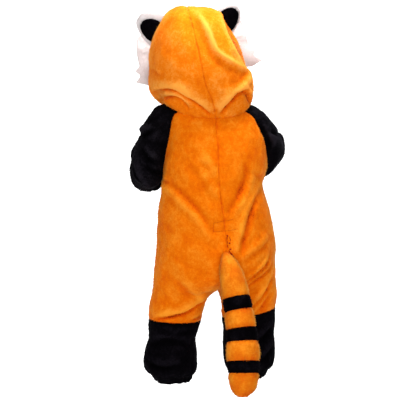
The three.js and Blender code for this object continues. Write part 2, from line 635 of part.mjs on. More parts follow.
const panels = [];
for (const side of [LEFT, RIGHT]) {
  const turned = side === RIGHT;
  const name = sideName(side);
  const knee = THIGH[side].length + TRUNK.length + SEAT_TURNS.length - 1;
  // `level` lists the rows along the neck and knee seams, where the wall's thickness lies level.
  panels.push(
    {
      name: `back_${name}`,
      rows: bodyPanel(BACK, side),
      turned: !turned,
      material: ORANGE,
      level: [0, knee],
    },
    { name: `front_${name}`, rows: bodyPanel(FRONT, side), turned, material: ORANGE, level: [0, knee] },
    { name: `sleeve_${name}`, rows: sleeve(side), turned: !turned, material: BLACK, level: [0] },
    { name: `hood_${name}`, rows: hoodHalf(side), turned, material: ORANGE, level: [0] },
    {
      name: `lower_leg_${name}`,
      rows: lowerLeg(side),
      turned: !turned,
      material: BLACK,
      level: [0],
      wraps: true,
    },
  );
}

// Presses the folds into panels that are sewn to each other, and gives each its wall.
function sewPanels(group) {
  const smoothNormal = sharedNormals(group);
  for (const panel of group) {
    panel.rows = panel.rows.map((row) =>
      row.map((p) => {
        const n = smoothNormal(p);
        return p.clone().addScaledVector(n, foldHeight(p, n));
      }),
    );
  }
  const foldedNormal = sharedNormals(group);
  for (const panel of group) {
    panel.normals = panel.rows.map((row, i) =>
      row.map((p) => {
        const n = foldedNormal(p);
        if (panel.level.includes(i)) n.setZ(0).normalize();
        return n;
      }),
    );
    const inner = panel.rows.map((row, i) =>
      row.map((p, j) => p.clone().addScaledVector(panel.normals[i][j], -CLOTH)),
    );
    const [outerIn, innerIn] = drawnIn(panel.rows, inner, panel.wraps);
    addPiece(panel.name, wallGeometry(outerIn, innerIn, panel.wraps), panel.material);
  }
}
const panelsWhose = (pattern) => panels.filter((panel) => pattern.test(panel.name));
sewPanels(panelsWhose(/^(back|front|sleeve)/));
sewPanels(panelsWhose(/^hood/));
for (const leg of panelsWhose(/^lower_leg/)) sewPanels([leg]);
const panelNamed = (name) => panels.find((panel) => panel.name === name);

// ---- Things that lie on the panels ----------------------------------------------------------
// The point and outward normal of a panel between its grid points, at a fractional row and column.
function onPanel(panel, row, column) {
  const i = Math.min(Math.floor(row), panel.rows.length - 2);
  const j = Math.min(Math.floor(column), panel.rows[0].length - 2);
  const between = (grid) => {
    const near = grid[i][j].clone().lerp(grid[i][j + 1], column - j);
    return near.lerp(grid[i + 1][j].clone().lerp(grid[i + 1][j + 1], column - j), row - i);
  };
  return { point: between(panel.rows), normal: between(panel.normals).normalize() };
}

// The point at a distance along a row of points, from its first.
function walk(row, distance) {
  let left = distance;
  for (const j of range(row.length - 1)) {
    const step = row[j].distanceTo(row[j + 1]);
    if (left <= step) return row[j].clone().lerp(row[j + 1], left / step);
    left -= step;
  }
  return row[row.length - 1].clone();
}

// The placket over the centre front, and its buttons.
const frontLeft = panelNamed("front_left");
const frontRight = panelNamed("front_right");
const placketRows = range(PLACKET_LAST_ROW + 1);
const placketLine = placketRows.map((i) => [
  walk(frontLeft.rows[i], PLACKET_HALF),
  frontLeft.rows[i][0].clone(),
  walk(frontRight.rows[i], PLACKET_HALF),
]);
const placketLift = (distance) =>
  placketLine.map((row, i) => row.map((p) => p.clone().addScaledVector(frontLeft.normals[i][0], distance)));
const placketOuter = placketLift(ON_TOP + CLOTH);
const placketInner = placketLift(ON_TOP);
for (const grid of [placketOuter, placketInner]) {
  grid[0] = grid[0].map((p, j) => p.clone().lerp(grid[1][j], PLACKET_TOP));
}
addPiece("front_placket", wallGeometry(placketOuter, placketInner, false), ORANGE);

const buttonProfile = [
  [0, 0],
  [BUTTON_RADIUS - BUTTON_EDGE, 0],
  [BUTTON_RADIUS, BUTTON_EDGE],
  [BUTTON_RADIUS, BUTTON_THICK - BUTTON_EDGE],
  [BUTTON_RADIUS - BUTTON_RIM, BUTTON_THICK],
  [BUTTON_RADIUS - BUTTON_DISH.from, BUTTON_THICK - BUTTON_DISH.deep],
  [0, BUTTON_THICK - BUTTON_DISH.deep],
].map(([r, h]) => new THREE.Vector2(r, h));
BUTTON_ROWS.forEach((row, k) => {
  const geometry = new THREE.LatheGeometry(buttonProfile, BUTTON_SIDES);
  const normal = frontLeft.normals[row][0].clone();
  geometry.applyQuaternion(new THREE.Quaternion().setFromUnitVectors(vec(0, 1, 0), normal));
  const seat = placketOuter[row][1].clone().addScaledVector(normal, ON_TOP);
  geometry.translate(seat.x, seat.y, seat.z);
  addPiece(`button_${k + 1}`, geometry, BUTTON);
});

// ---- Ears and cheek ruffs -------------------------------------------------------------------
// One layer of an ear, standing on the hood. `ahead` is how far in front of its foot's line it is.
function earLayer(side, scale, ahead) {
  const hood = panelNamed(`hood_${sideName(side)}`);
  const base = EAR_BASE[side];
  const footAt = (share) =>
    onPanel(hood, base.row + base.rowStep * share, base.column + base.columnStep * share);
  const middle = footAt(0);
  const along = footAt(0.5).point.sub(footAt(-0.5).point).normalize();
  const forward = middle.normal.clone().cross(along).normalize();
  if (forward.y < 0) forward.negate();
  const face = (distance) =>
    EAR.map(({ up, half }) =>
      range(EAR_COLUMNS + 1).map((j) => {
        const share = (((2 * j) / EAR_COLUMNS - 1) * scale * half) / EAR[0].half;
        const height = up * scale;
        const foot = footAt(share);
        const point = foot.point.clone().addScaledVector(foot.normal, EAR_CLEAR);
        point.addScaledVector(middle.normal, height);
        const cup = EAR_CUP * share * share * (height / EAR[EAR.length - 1].up);
        return point.addScaledVector(forward, distance + cup);
      }),
    );
  return wallGeometry(face(ahead), face(ahead + EAR_PLUSH), false);
}

// A cheek ruff: two layers of pale plush standing out from the side of the face, cut into points.
function ruff(side) {
  const hood = panelNamed(`hood_${sideName(side)}`);
  const rows = RUFF.map(({ at, [sideName(side)]: out }) => {
    const root = onPanel(hood, mix(RUFF_TOP, RUFF_FOOT, at), RUFF_COLUMN);
    const way = vec(side, -RUFF_BACKWARD, 0)
      .applyAxisAngle(vec(0, 1, 0), HEAD_ROLL * DEG)
      .addScaledVector(root.normal, RUFF_SPREAD)
      .normalize();
    return range(RUFF_ROWS + 1).map((k) => {
      const share = k / RUFF_ROWS;
      return root.point
        .clone()
        .addScaledVector(root.normal, ON_TOP + RUFF_PLUSH / 2 + RUFF_CLEAR)
        .addScaledVector(way, out * share);
    });
  });
  const half = vec(0, RUFF_PLUSH / 2, 0);
  const front = rows.map((row) => row.map((p) => p.clone().add(half)));
  const back = rows.map((row) => row.map((p) => p.clone().sub(half)));
  return wallGeometry(front, back, false);
}

for (const side of [LEFT, RIGHT]) {
  addPiece(`ear_back_${sideName(side)}`, earLayer(side, 1, 0), BLACK);
  addPiece(`ear_front_${sideName(side)}`, earLayer(side, EAR_FRONT_SCALE, EAR_PLUSH + ON_TOP), WHITE);
  addPiece(`cheek_ruff_${sideName(side)}`, ruff(side), WHITE);
}

// ---- Tail -----------------------------------------------------------------------------------
const tailLine = new THREE.CatmullRomCurve3(TAIL.map(({ x, y, z }) => vec(x, y, z)));
const tailLength = tailLine.getLength();
const tailStations = TAIL.map((row, k) => ({ ...row, k }));

// A ring of the tail at a distance along its centre line.
function tailRing(distance) {
  const share = distance / tailLength;
  const k = tailLine.getUtoTmapping(share) * (TAIL.length - 1);
  const centre = tailLine.getPointAt(share);
  const travel = tailLine.getTangentAt(share);
  const sideways = vec(1, 0, 0).addScaledVector(travel, -travel.x).normalize();
  const outward = travel.clone().cross(sideways);
  const radius = sample(tailStations, "k", k, "radius");
  return range(TAIL_SIDES).map((j) => {
    const angle = (j / TAIL_SIDES) * 2 * Math.PI;
    return centre
      .clone()
      .addScaledVector(sideways, radius * Math.cos(angle))
      .addScaledVector(outward, radius * Math.sin(angle));
  });
}

// One stuffed band of the tail, a closed solid with flat ends.
function tailBand(from, to) {
  const count = Math.max(2, Math.round((to - from) / TAIL_RING_STEP));
  const rings = range(count + 1).map((i) => tailRing(mix(from, to, i / count)));
  const points = rings.flat();
  const faces = [];
  const at = (i, j) => i * TAIL_SIDES + (j % TAIL_SIDES);
  for (const i of range(count)) {
    for (const j of range(TAIL_SIDES)) {
      faces.push(at(i, j), at(i + 1, j), at(i + 1, j + 1), at(i, j), at(i + 1, j + 1), at(i, j + 1));
    }
  }
  for (const j of range(TAIL_SIDES - 2)) {
    faces.push(at(0, 0), at(0, j + 1), at(0, j + 2), at(count, 0), at(count, j + 2), at(count, j + 1));
  }
  return solidGeometry(points, faces);
}

// How far along the centre line the tail comes down to a height.
function tailDistance(height) {
  let distance = 0;
  while (distance < tailLength && tailLine.getPointAt(distance / tailLength).z > height) distance += 1;
  return Math.min(distance, tailLength);
}

let bandStart = 0;
for (const band of TAIL_BANDS) {
  const bandEnd = tailDistance(band.end);
  addPiece(band.name, tailBand(bandStart, bandEnd - SEAM), band.dark ? BLACK : ORANGE);
  bandStart = bandEnd;
}

export default garment;
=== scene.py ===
"""Looks of the hooded plush pyjamas: nap, seams, folds, gathers, stitching, tail, ears and buttons.

Every sewn panel is a thin shell on the form of its solid. It is drawn from the same sizes, in
millimetres, pressed with finer folds, and turned into metres where its mesh is made.
"""

import logging
import math
from dataclasses import dataclass, field, replace
from enum import Enum
from typing import NamedTuple

import bpy
import numpy as np
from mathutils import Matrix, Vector


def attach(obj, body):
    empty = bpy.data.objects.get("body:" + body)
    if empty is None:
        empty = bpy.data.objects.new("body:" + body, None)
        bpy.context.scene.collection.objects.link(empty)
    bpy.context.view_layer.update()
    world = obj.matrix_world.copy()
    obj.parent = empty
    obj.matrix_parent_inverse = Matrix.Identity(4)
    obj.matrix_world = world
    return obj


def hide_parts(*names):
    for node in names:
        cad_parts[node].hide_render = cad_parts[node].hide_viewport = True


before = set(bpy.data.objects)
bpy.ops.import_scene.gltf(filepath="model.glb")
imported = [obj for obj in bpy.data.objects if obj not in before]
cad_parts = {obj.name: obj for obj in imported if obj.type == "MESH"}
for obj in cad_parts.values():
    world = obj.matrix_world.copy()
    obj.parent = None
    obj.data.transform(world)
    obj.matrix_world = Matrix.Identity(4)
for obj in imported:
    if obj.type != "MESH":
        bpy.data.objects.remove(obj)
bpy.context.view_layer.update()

Array = np.ndarray
Colour = tuple[float, float, float]
Socket = bpy.types.NodeSocket
Material = bpy.types.Material
Piece = bpy.types.Object
log = logging.getLogger("pyjamas")

MM = 0.001
BODY = "root"
CLOTH = 3.0  # plush pile and its backing
ON_TOP = 0.7  # between a panel and what lies on it
ROUNDNESS = 0.93  # power of sine and cosine in a trunk ring, under 1 is squarer
NAPE = 68.0  # from the neck's middle to its back
NECK_FILL = 7.0
NECK_REACH = 22.0


class Way(Enum):
    """A direction whose name stands in the names of nodes."""

    @property
    def word(self) -> str:
        """The direction as it stands in a node's name."""
        return self.name.lower()


class Side(Way):
    """The wearer's left or right, as the sign of x."""

    LEFT = -1
    RIGHT = 1


class Face(Way):
    """The back or front of the garment, as the sign of y."""

    BACK = -1
    FRONT = 1


class Edge(Enum):
    """An edge of a panel's grid."""

    FIRST_COLUMN = 1
    LAST_COLUMN = 2
    FIRST_ROW = 3
    LAST_ROW = 4


# ---- Rows of the tables of sizes ----
class TrunkRing(NamedTuple):
    """A ring of the trunk: its reach to each side of `shift`, the turn of its seams in degrees,
    where the raglan seam crosses it, and its share of the neck's rise to the shoulders."""

    z: float
    left: float
    right: float
    back: float
    front: float
    shift: float
    turn: float
    raglan: float
    rise: float


class LegRing(NamedTuple):
    """A ring of the orange part of a leg, with its heights at the inseam and the side seam."""

    inner: float
    outer: float
    x: float
    half: float
    back: float
    front: float


class ShinRing(NamedTuple):
    """A section of the dark lower leg."""

    z: float
    x: float
    half: float
    back: float
    front: float


class CrownPoint(NamedTuple):
    """The crown of a sleeve at one trunk ring, and how far the row bellies out behind it."""

    x: float
    y: float
    z: float
    deep: float


class ArmSection(NamedTuple):
    """A section of a sleeve in front of the elbow: centre, travel, half width and half height."""

    x: float
    y: float
    z: float
    dx: float
    dy: float
    dz: float
    wide: float
    tall: float


class HoodTurn(NamedTuple):
    """The hood at one turn of the fan about the chin: reach and half widths."""

    turn: float
    reach: float
    left: float
    right: float


class Fold(NamedTuple):
    """A soft fold along a path of x and z: a trough, and a rounded ridge on the path's left."""

    face: Face
    path: tuple[tuple[float, float], ...]
    depth: float
    width: float
    rise: float
    roll: float
    reach: float = 0.05  # how squarely a surface faces before the fold starts to show on it
    until: float = 999.0  # how far round to the other face it runs, as y


class TailStation(NamedTuple):
    """A point of the tail's centre line and the radius there."""

    x: float
    y: float
    z: float
    radius: float


class TailBand(NamedTuple):
    """A sewn band of the tail, the height of its lower end, and whether it is dark."""

    node: str
    end: float
    dark: bool


class Swell(NamedTuple):
    """A place of x and z where the hood is pushed out, its reach and its rise."""

    x: float
    z: float
    reach: float
    rise: float


class HandStitch(NamedTuple):
    """A hand-sewn stitch: where it starts and ends in x and z, and its thread's radius."""

    start: tuple[float, float]
    end: tuple[float, float]
    radius: float


class RuffPoint(NamedTuple):
    """How far the cheek ruff stands out at a share of its length, on each side."""

    at: float
    left: float
    right: float


def table_of(kind: type, *lines: tuple) -> tuple:
    """A table's rows, each made from a line of its values."""
    return tuple(kind(*line) for line in lines)


# ---- Small helpers ----
def smooth(low: float, high: float, value: Array | float) -> Array | float:
    """Smooth step of a value from 0 at `low` to 1 at `high`."""
    t = np.clip((value - low) / (high - low), 0.0, 1.0)
    return t * t * (3.0 - 2.0 * t)


def bell(value: Array) -> Array:
    """A bell curve, 1 at 0 and close to 0 from 2 on."""
    return np.exp(-(value**2))


def mix(a: Array | float, b: Array | float, t: Array | float) -> Array | float:
    """The blend of two values, `a` at 0 and `b` at 1."""
    return a + (b - a) * t


def rounded(value: Array, power: float = ROUNDNESS) -> Array:
    """A power that keeps the sign, for rings squarer than an ellipse."""
    return np.sign(value) * np.abs(value) ** power


def unit(vectors: Array) -> Array:
    """The vectors at length one."""
    return vectors / np.maximum(np.linalg.norm(vectors, axis=-1, keepdims=True), 1e-9)


def stack(x: Array, y: Array, z: Array) -> Array:
    """Points from their coordinates, which may have different shapes."""
    return np.stack(np.broadcast_arrays(x, y, z), axis=-1)


def about_z(points: Array, degrees: Array | float) -> Array:
    """The points turned about the vertical axis."""
    x, y, c, s = points[..., 0], points[..., 1], np.cos(np.radians(degrees)), np.sin(np.radians(degrees))
    return stack(x * c - y * s, x * s + y * c, points[..., 2])


def about_y(points: Array, degrees: Array | float) -> Array:
    """The points turned about the axis that runs to the wearer's front."""
    x, z, c, s = points[..., 0], points[..., 2], np.cos(np.radians(degrees)), np.sin(np.radians(degrees))
    return stack(x * c + z * s, points[..., 1], z * c - x * s)


def ripple(points: Array, size: float, seed: int, waves: int = 7) -> Array:
    """A smooth field of bumps from about -1 to 1, the same wherever two panels meet.

    Args:
        points: Places in millimetres.
        size: The usual distance from one bump to the next.
        seed: Which field of bumps.
        waves: How many plane waves it is made of.

    Returns:
        The field's value at each point.
    """
    draw = np.random.default_rng(seed)
    ways = unit(draw.normal(size=(waves, 3))) * draw.uniform(0.7, 1.3, (waves, 1))
    phases = draw.uniform(0, 2 * np.pi, waves)
    return np.sin(points @ ways.T * (2 * np.pi / size) + phases).sum(axis=-1) / math.sqrt(waves)


def sample(table: tuple, key: str, at: Array, column: str) -> Array:
    """A table's column where its key column is `at`, on a smooth curve through its rows.

    Args:
        table: Rows with named columns, sorted by the key.
        key: The name of the key column.
        at: The keys that are asked for.
        column: The name of the column to read.

    Returns:
        The column's values.
    """
    keys = np.array([getattr(row, key) for row in table], float)
    values = np.array([getattr(row, column) for row in table], float)
    if keys[0] > keys[-1]:
        keys, at = -keys, -np.asarray(at, float)
    slopes = np.gradient(values, keys)
    i = np.clip(np.searchsorted(keys, at, side="right") - 1, 0, len(keys) - 2)
    span = keys[i + 1] - keys[i]
    t = np.clip((at - keys[i]) / span, 0, 1)
    return hermite(values[i], slopes[i] * span, values[i + 1], slopes[i + 1] * span, t)


def hermite(start: Array, leaving: Array, end: Array, arriving: Array, t: Array) -> Array:
    """A cubic from `start` to `end` with the given slopes at its ends."""
    t2, t3 = t * t, t * t * t
    return (
        start * (2 * t3 - 3 * t2 + 1)
        + leaving * (t3 - 2 * t2 + t)
        + end * (3 * t2 - 2 * t3)
        + arriving * (t3 - t2)
    )


def through(rows: Array, at: Array) -> Array:
    """Rows of points on smooth curves through a stack of rows.

    Args:
        rows: The stack, one row of points for each section.
        at: Where to cut the curves, counted in sections.

    Returns:
        One row of points for each place in `at`.
    """
    last = len(rows) - 1
    i = np.clip(np.floor(at).astype(int), 0, last - 1)
    t = (at - i).reshape(-1, *([1] * (rows.ndim - 1)))
    before, here, there, after = (rows[np.clip(i + k, 0, last)] for k in (-1, 0, 1, 2))
    return hermite(here, (there - before) / 2, there, (after - here) / 2, t)


def crowded(count: int, crowd: float = 0.7) -> Array:
    """Shares from 0 to 1 that lie closer together near both ends."""
    t = np.linspace(0, 1, count)
    return t - crowd * np.sin(2 * np.pi * t) / (2 * np.pi)


def eased(count: int, power: float) -> Array:
    """Shares from 0 to 1 that lie closer together near 1."""
    return 1 - (1 - np.linspace(0, 1, count)) ** power


def walked(grid: Array, axis: int) -> Array:
    """The distance along each line of a grid from its first point."""
    steps = np.diff(grid, axis=axis, prepend=np.take(grid, [0], axis))
    return np.cumsum(np.linalg.norm(steps, axis=2), axis=axis)


def read_off(at: Array, places: Array, points: Array) -> Array:
    """The points at some places, from points at known places."""
    return np.stack([np.interp(at, places, points[:, k]) for k in range(3)], axis=-1)


def grid_normals(grid: Array, wraps: bool) -> Array:
    """Outward normals of a grid of points that bulges outward.

    Args:
        grid: Rows and columns of points.
        wraps: Whether the last column is sewn to the first.

    Returns:
        A unit normal for each point.
    """
    if wraps:
        ring = np.concatenate([grid[:, -1:], grid, grid[:, :1]], axis=1)
        across = ring[:, 2:] - ring[:, :-2]
    else:
        across = np.gradient(grid, axis=1)
    normals = unit(np.cross(np.gradient(grid, axis=0), across))
    outward = ((grid - grid.mean(axis=1, keepdims=True)) * normals).sum()
    return normals if outward > 0 else -normals


# ---- Meshes ----
def grid_faces(rows: int, columns: int, wraps: bool, start: int = 0) -> Array:
    """The quads of a grid whose points are numbered row by row.

    Args:
        rows: Its rows.
        columns: Its columns.
        wraps: Whether the last column is sewn to the first.
        start: The first point's number.

    Returns:
        One row of four numbers for each quad.
    """
    i, j = np.meshgrid(np.arange(rows - 1), np.arange(columns if wraps else columns - 1), indexing="ij")
    a, b = i * columns + j, i * columns + (j + 1) % columns
    return np.stack([a, a + columns, b + columns, b], axis=-1).reshape(-1, 4) + start


def shell_faces(rows: int, columns: int, wraps: bool) -> tuple[Array, Array]:
    """The quads of a wall between two grids, and which of them belong to its inside.

    Args:
        rows: Rows of each grid.
        columns: Columns of each grid.
        wraps: Whether the last column is sewn to the first.

    Returns:
        The quads, and a 1 for each quad of the inner grid, a 0 for the others.
    """
    inner = rows * columns
    outside = grid_faces(rows, columns, wraps)
    inside = grid_faces(rows, columns, wraps, inner)[:, ::-1]
    j = np.arange(columns if wraps else columns - 1)
    k = (j + 1) % columns
    foot = (rows - 1) * columns
    rims = [
        np.stack([j, k, k + inner, j + inner], axis=1),
        np.stack([j + foot, j + foot + inner, k + foot + inner, k + foot], axis=1),
    ]
    if not wraps:
        i = np.arange(rows - 1) * columns
        far = i + columns - 1
        rims.append(np.stack([i, i + inner, i + columns + inner, i + columns], axis=1))
        rims.append(np.stack([far, far + columns, far + columns + inner, far + inner], axis=1))
    quads = np.concatenate([outside, inside, *rims])
    marks = np.zeros(len(quads), np.int32)
    marks[len(outside) : len(outside) + len(inside)] = 1
    return quads, marks


def facing_out(points: Array, faces: Array) -> Array:
    """Turns the faces of a closed mesh out, if need be.

    Args:
        points: The mesh's points.
        faces: Its triangles or quads.

    Returns:
        The faces, in that order or each reversed.
    """
    a, b, c = (points[faces[:, k]] for k in range(3))
    volume = (a * np.cross(b, c)).sum()
    if faces.shape[1] == 4:
        volume += (a * np.cross(c, points[faces[:, 3]])).sum()
    return faces if volume > 0 else faces[:, ::-1]


def make_object(
    name: str,
    points: Array,
    faces: Array,
    materials: list[Material],
    marks: Array | None = None,
    lift: Array | None = None,
) -> Piece:
    """Makes an object whose place is in its mesh, from points in millimetres.

    Args:
        name: The object's name.
        points: One row for each vertex.
        faces: One row of vertex numbers for each face, all of the same length.
        materials: The object's material slots.
        marks: The material slot of each face.
        lift: A value for each vertex that its finish reads, -1 in a trough and 1 on a ridge; the finish
            paints shade where it is low and highlight where it is high.

    Returns:
        The object, linked to the scene.
    """
    mesh = bpy.data.meshes.new(name)
    count, corners = faces.shape
    mesh.vertices.add(len(points))
    mesh.vertices.foreach_set("co", (points * MM).astype(np.float32).ravel())
    mesh.loops.add(count * corners)
    mesh.loops.foreach_set("vertex_index", faces.astype(np.int32).ravel())
    mesh.polygons.add(count)
    mesh.polygons.foreach_set("loop_start", np.arange(0, count * corners, corners, dtype=np.int32))
    for material in materials:
        mesh.materials.append(material)
    if marks is not None:
        mesh.polygons.foreach_set("material_index", marks.astype(np.int32))
    if lift is not None:
        values = mesh.attributes.new("lift", "FLOAT", "POINT").data
        values.foreach_set("value", lift.astype(np.float32).ravel())
    mesh.update(calc_edges=True)
    mesh.shade_smooth()
    piece = bpy.data.objects.new(name, mesh)
    bpy.context.scene.collection.objects.link(piece)
    return piece


def make_wall(
    name: str, outer: Array, inner: Array, wraps: bool, materials: list[Material], lift: Array
) -> Piece:
    """Makes a closed wall between two grids, with the last material on its inside.

    Args:
        name: The object's name.
        outer: The grid of its outside.
        inner: The grid of its inside.
        wraps: Whether the last column is sewn to the first.
        materials: One material, or the outside's and the inside's.
        lift: What the finish reads at each point of the outside.

    Returns:
        The object.
    """
    points = np.concatenate([outer.reshape(-1, 3), inner.reshape(-1, 3)])
    quads, marks = shell_faces(*outer.shape[:2], wraps)
    marks = marks if len(materials) > 1 else None
    return make_object(name, points, facing_out(points, quads), materials, marks, np.tile(lift.ravel(), 2))


def put_on(piece: Piece, slot: str | None = None, node: str | None = None) -> None:
    """Lets a piece ride on the garment.

    Args:
        piece: The piece.
        slot: Its material slot in the record, if it has one; not used.
        node: The node that it stands for, if any.
    """
    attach(piece, BODY)
    if node:
        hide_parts(node)
    log.info("%s: %d faces", piece.name, len(piece.data.polygons))


# ---- Finishes ----
class Nodes:
    """A material's node tree, with the few nodes that these finishes use."""

    def __init__(self, name: str) -> None:
        """Starts a material with its shader.

        Args:
            name: The material's name.
        """
        self.material = bpy.data.materials.new(name)
        self.material.use_nodes = True
        self.tree = self.material.node_tree
        self.shader = self.tree.nodes["Principled BSDF"]

    def feed(self, node: bpy.types.Node, inputs: dict) -> None:
        """Sets a node's inputs, or links sockets to them.

        Args:
            node: The node.
            inputs: Values or sockets, by input name with _ for a space, or by number.
        """
        for name, value in inputs.items():
            socket = node.inputs[name.replace("_", " ") if isinstance(name, str) else name]
            if isinstance(value, Socket):
                self.tree.links.new(value, socket)
            else:
                socket.default_value = value

    def add(self, kind: str, **inputs: object) -> bpy.types.Node:
        """Adds a node.

        Args:
            kind: The node's type without its prefix.
            **inputs: Its inputs, as for `feed`.

        Returns:
            The node.
        """
        node = self.tree.nodes.new("ShaderNode" + kind)
        self.feed(node, inputs)
        return node

    def finish(self, **inputs: object) -> Material:
        """Feeds the shader and gives the material."""
        self.feed(self.shader, inputs)
        return self.material

    def place(self) -> Socket:
        """The point on the object, in metres."""
        return self.add("TexCoord").outputs["Object"]

    def noise(self, scale: float, detail: float, roughness: float = 0.5) -> Socket:
        """A noise over the object's points."""
        node = self.add("TexNoise", Vector=self.place(), Scale=scale, Detail=detail, Roughness=roughness)
        return node.outputs["Fac"]

    def sums(self, terms: list[tuple[Socket, float]], base: float) -> Socket:
        """Adds up weighted values.

        Args:
            terms: Pairs of a value and its weight.
            base: What the sum starts from.

        Returns:
            The sum's socket.
        """
        total: object = base
        for value, weight in terms:
            node = self.add("Math")
            node.operation = "MULTIPLY_ADD"
            self.feed(node, dict(enumerate((value, weight, total))))
            total = node.outputs[0]
        return total

    def ramp(self, value: Socket, stops: list[tuple[float, Colour]]) -> Socket:
        """Reads a colour from a value.

        Args:
            value: The value.
            stops: Pairs of a value and the colour there.

        Returns:
            The colour's socket.
        """
        node = self.add("ValToRGB", Fac=value)
        band = node.color_ramp
        while len(band.elements) < len(stops):
            band.elements.new(0.5)
        for element, (at, colour) in zip(band.elements, stops):
            element.position = at
            element.color = (*colour, 1.0)
        return node.outputs["Color"]

    def bump(self, height: Socket, distance: float, strength: float) -> Socket:
        """A normal from a height, `distance` metres from its lowest to its highest."""
        node = self.add("Bump", Height=height, Distance=distance, Strength=strength)
        return node.outputs["Normal"]


@dataclass(frozen=True)
class Plush:
    """Short soft pile. Its nap lies in patches, paler where it is brushed up. Its colour also holds painted
    shade in troughs and seams, down to the crease shadow colour, and painted highlight on ridges, read from
    the mesh's lift value.
    """

    name: str
    # painted shadow at the bottom of creases and seams
    crease: Colour
    deep: Colour
    middle: Colour
    pale: Colour
    sheen_tint: Colour
    sheen: float = 0.35
    sheen_roughness: float = 0.3
    gloss: float = 0.05
    patch_scale: float = 30.0
    patch_weight: float = 0.6
    brushed_weight: float = 0.4
    grain_weight: float = 0.5
    # how strongly the lift value paints shade into troughs and seams and highlight onto ridges
    crease_weight: float = 0.44
    pile_scale: float = 340.0
    pile_height: float = 0.0012
    pile_strength: float = 0.6
    roughness: float = 0.9

    def material(self) -> Material:
        """Builds the finish.

        Returns:
            The material.
        """
        nodes = Nodes(self.name)
        patches = nodes.noise(self.patch_scale, 3.0, 0.55)
        brushed = nodes.noise(self.patch_scale * 4.2, 2.0)
        fine = nodes.noise(self.pile_scale, 2.0, 0.6)
        clumps = nodes.noise(self.pile_scale * 0.32, 2.0)
        # Painted shade and highlight: the lift value is low in troughs and seams and high on ridges.
        shade_attribute = nodes.add("Attribute")
        shade_attribute.attribute_name = "lift"
        weights = (self.patch_weight, self.brushed_weight, self.grain_weight)
        terms = [*zip((patches, brushed, fine), weights), (shade_attribute.outputs["Fac"], self.crease_weight)]
        value = nodes.sums(terms, 0.5 - sum(weights) / 2)
        stops = [(0.03, self.crease), (0.18, self.deep), (0.5, self.middle), (0.86, self.pale)]
        pile = nodes.sums([(fine, 0.6), (clumps, 0.8)], 0.0)
        return nodes.finish(
            Base_Color=nodes.ramp(value, stops),
            Normal=nodes.bump(pile, self.pile_height, self.pile_strength),
            Roughness=self.roughness,
            Specular_IOR_Level=self.gloss,
            Sheen_Weight=self.sheen,
            Sheen_Roughness=self.sheen_roughness,
            Sheen_Tint=(*self.sheen_tint, 1.0),
        )


@dataclass(frozen=True)
class Backing:
    """The knitted back of the plush, which shows inside the hood and the openings."""

    name: str
    colour: Colour
    rib_scale: float = 420.0

    def material(self) -> Material:
        """Builds the finish.

        Returns:
            The material.
        """
        nodes = Nodes(self.name)
        ribs = nodes.add("TexWave", Vector=nodes.place(), Scale=self.rib_scale, Distortion=1.5, Detail=1.0)
        # Random tone from the noise, with the rib grooves painted a little darker as shade.
        tone = nodes.sums([(nodes.noise(60.0, 2.0), 0.5), (ribs.outputs["Fac"], 0.25)], 0.1)
        darker = tuple(0.72 * c for c in self.colour)
        return nodes.finish(
            Base_Color=nodes.ramp(tone, [(0.2, darker), (0.7, self.colour)]),
            Normal=nodes.bump(ribs.outputs["Fac"], 0.0004, 0.5),
            Roughness=0.95,
            Specular_IOR_Level=0.15,
        )


@dataclass(frozen=True)
class Thread:
    """Sewing thread, twisted of two plies."""

    name: str
    colour: Colour

    def material(self) -> Material:
        """Builds the finish.

        Returns:
            The material.
        """
        nodes = Nodes(self.name)
        plies = nodes.add("TexWave", Vector=nodes.place(), Scale=900.0, Distortion=2.0).outputs["Fac"]
        # The grooves between the plies are painted darker, as shade.
        darker = tuple(0.6 * c for c in self.colour)
        return nodes.finish(
            Base_Color=nodes.ramp(plies, [(0.1, darker), (0.7, self.colour)]),
            Normal=nodes.bump(plies, 0.0002, 0.6),
            Roughness=0.8,
            Specular_IOR_Level=0.1,
        )


@dataclass(frozen=True)
class Resin:
    """Moulded button resin with a faint swirl."""

    slot: str
    dark: Colour
    pale: Colour

    def material(self) -> Material:
        """Builds the finish.

        Returns:
            The material.
        """
        nodes = Nodes(self.slot + "_swirl")
        swirl = nodes.add("TexWave", Vector=nodes.place(), Scale=60.0, Distortion=9.0, Detail=3.0)
        return nodes.finish(
            Base_Color=nodes.ramp(swirl.outputs["Fac"], [(0.1, self.dark), (0.95, self.pale)]),
            Roughness=nodes.sums([(nodes.noise(300.0, 3.0), 0.25)], 0.22),
            Normal=nodes.bump(nodes.noise(700.0, 2.0), 0.0001, 0.3),
            Coat_Weight=0.25,
        )


@dataclass(frozen=True)
class Paper:
    """The pale studio floor and its backdrop."""

    name: str = "studio_paper"
    tone: float = 0.9
    glow: float = 0.92

    def material(self) -> Material:
        """Builds the finish.

        Returns:
            The material.
        """
        nodes = Nodes(self.name)
        low, high = (self.tone - 0.02,) * 3, (self.tone,) * 3
        return nodes.finish(
            Base_Color=nodes.ramp(nodes.noise(3.0, 2.0), [(0.3, low), (0.7, high)]),
            Roughness=0.9,
            Specular_IOR_Level=0.1,
            Emission_Color=(1.0, 1.0, 1.0, 1.0),
            Emission_Strength=self.glow,
        )


@dataclass(frozen=True)
class Cloth:
    """A cloth as it is cut: its plush, its backing and its material slot in the record."""

    plush: Material
    back: Material
    slot: str


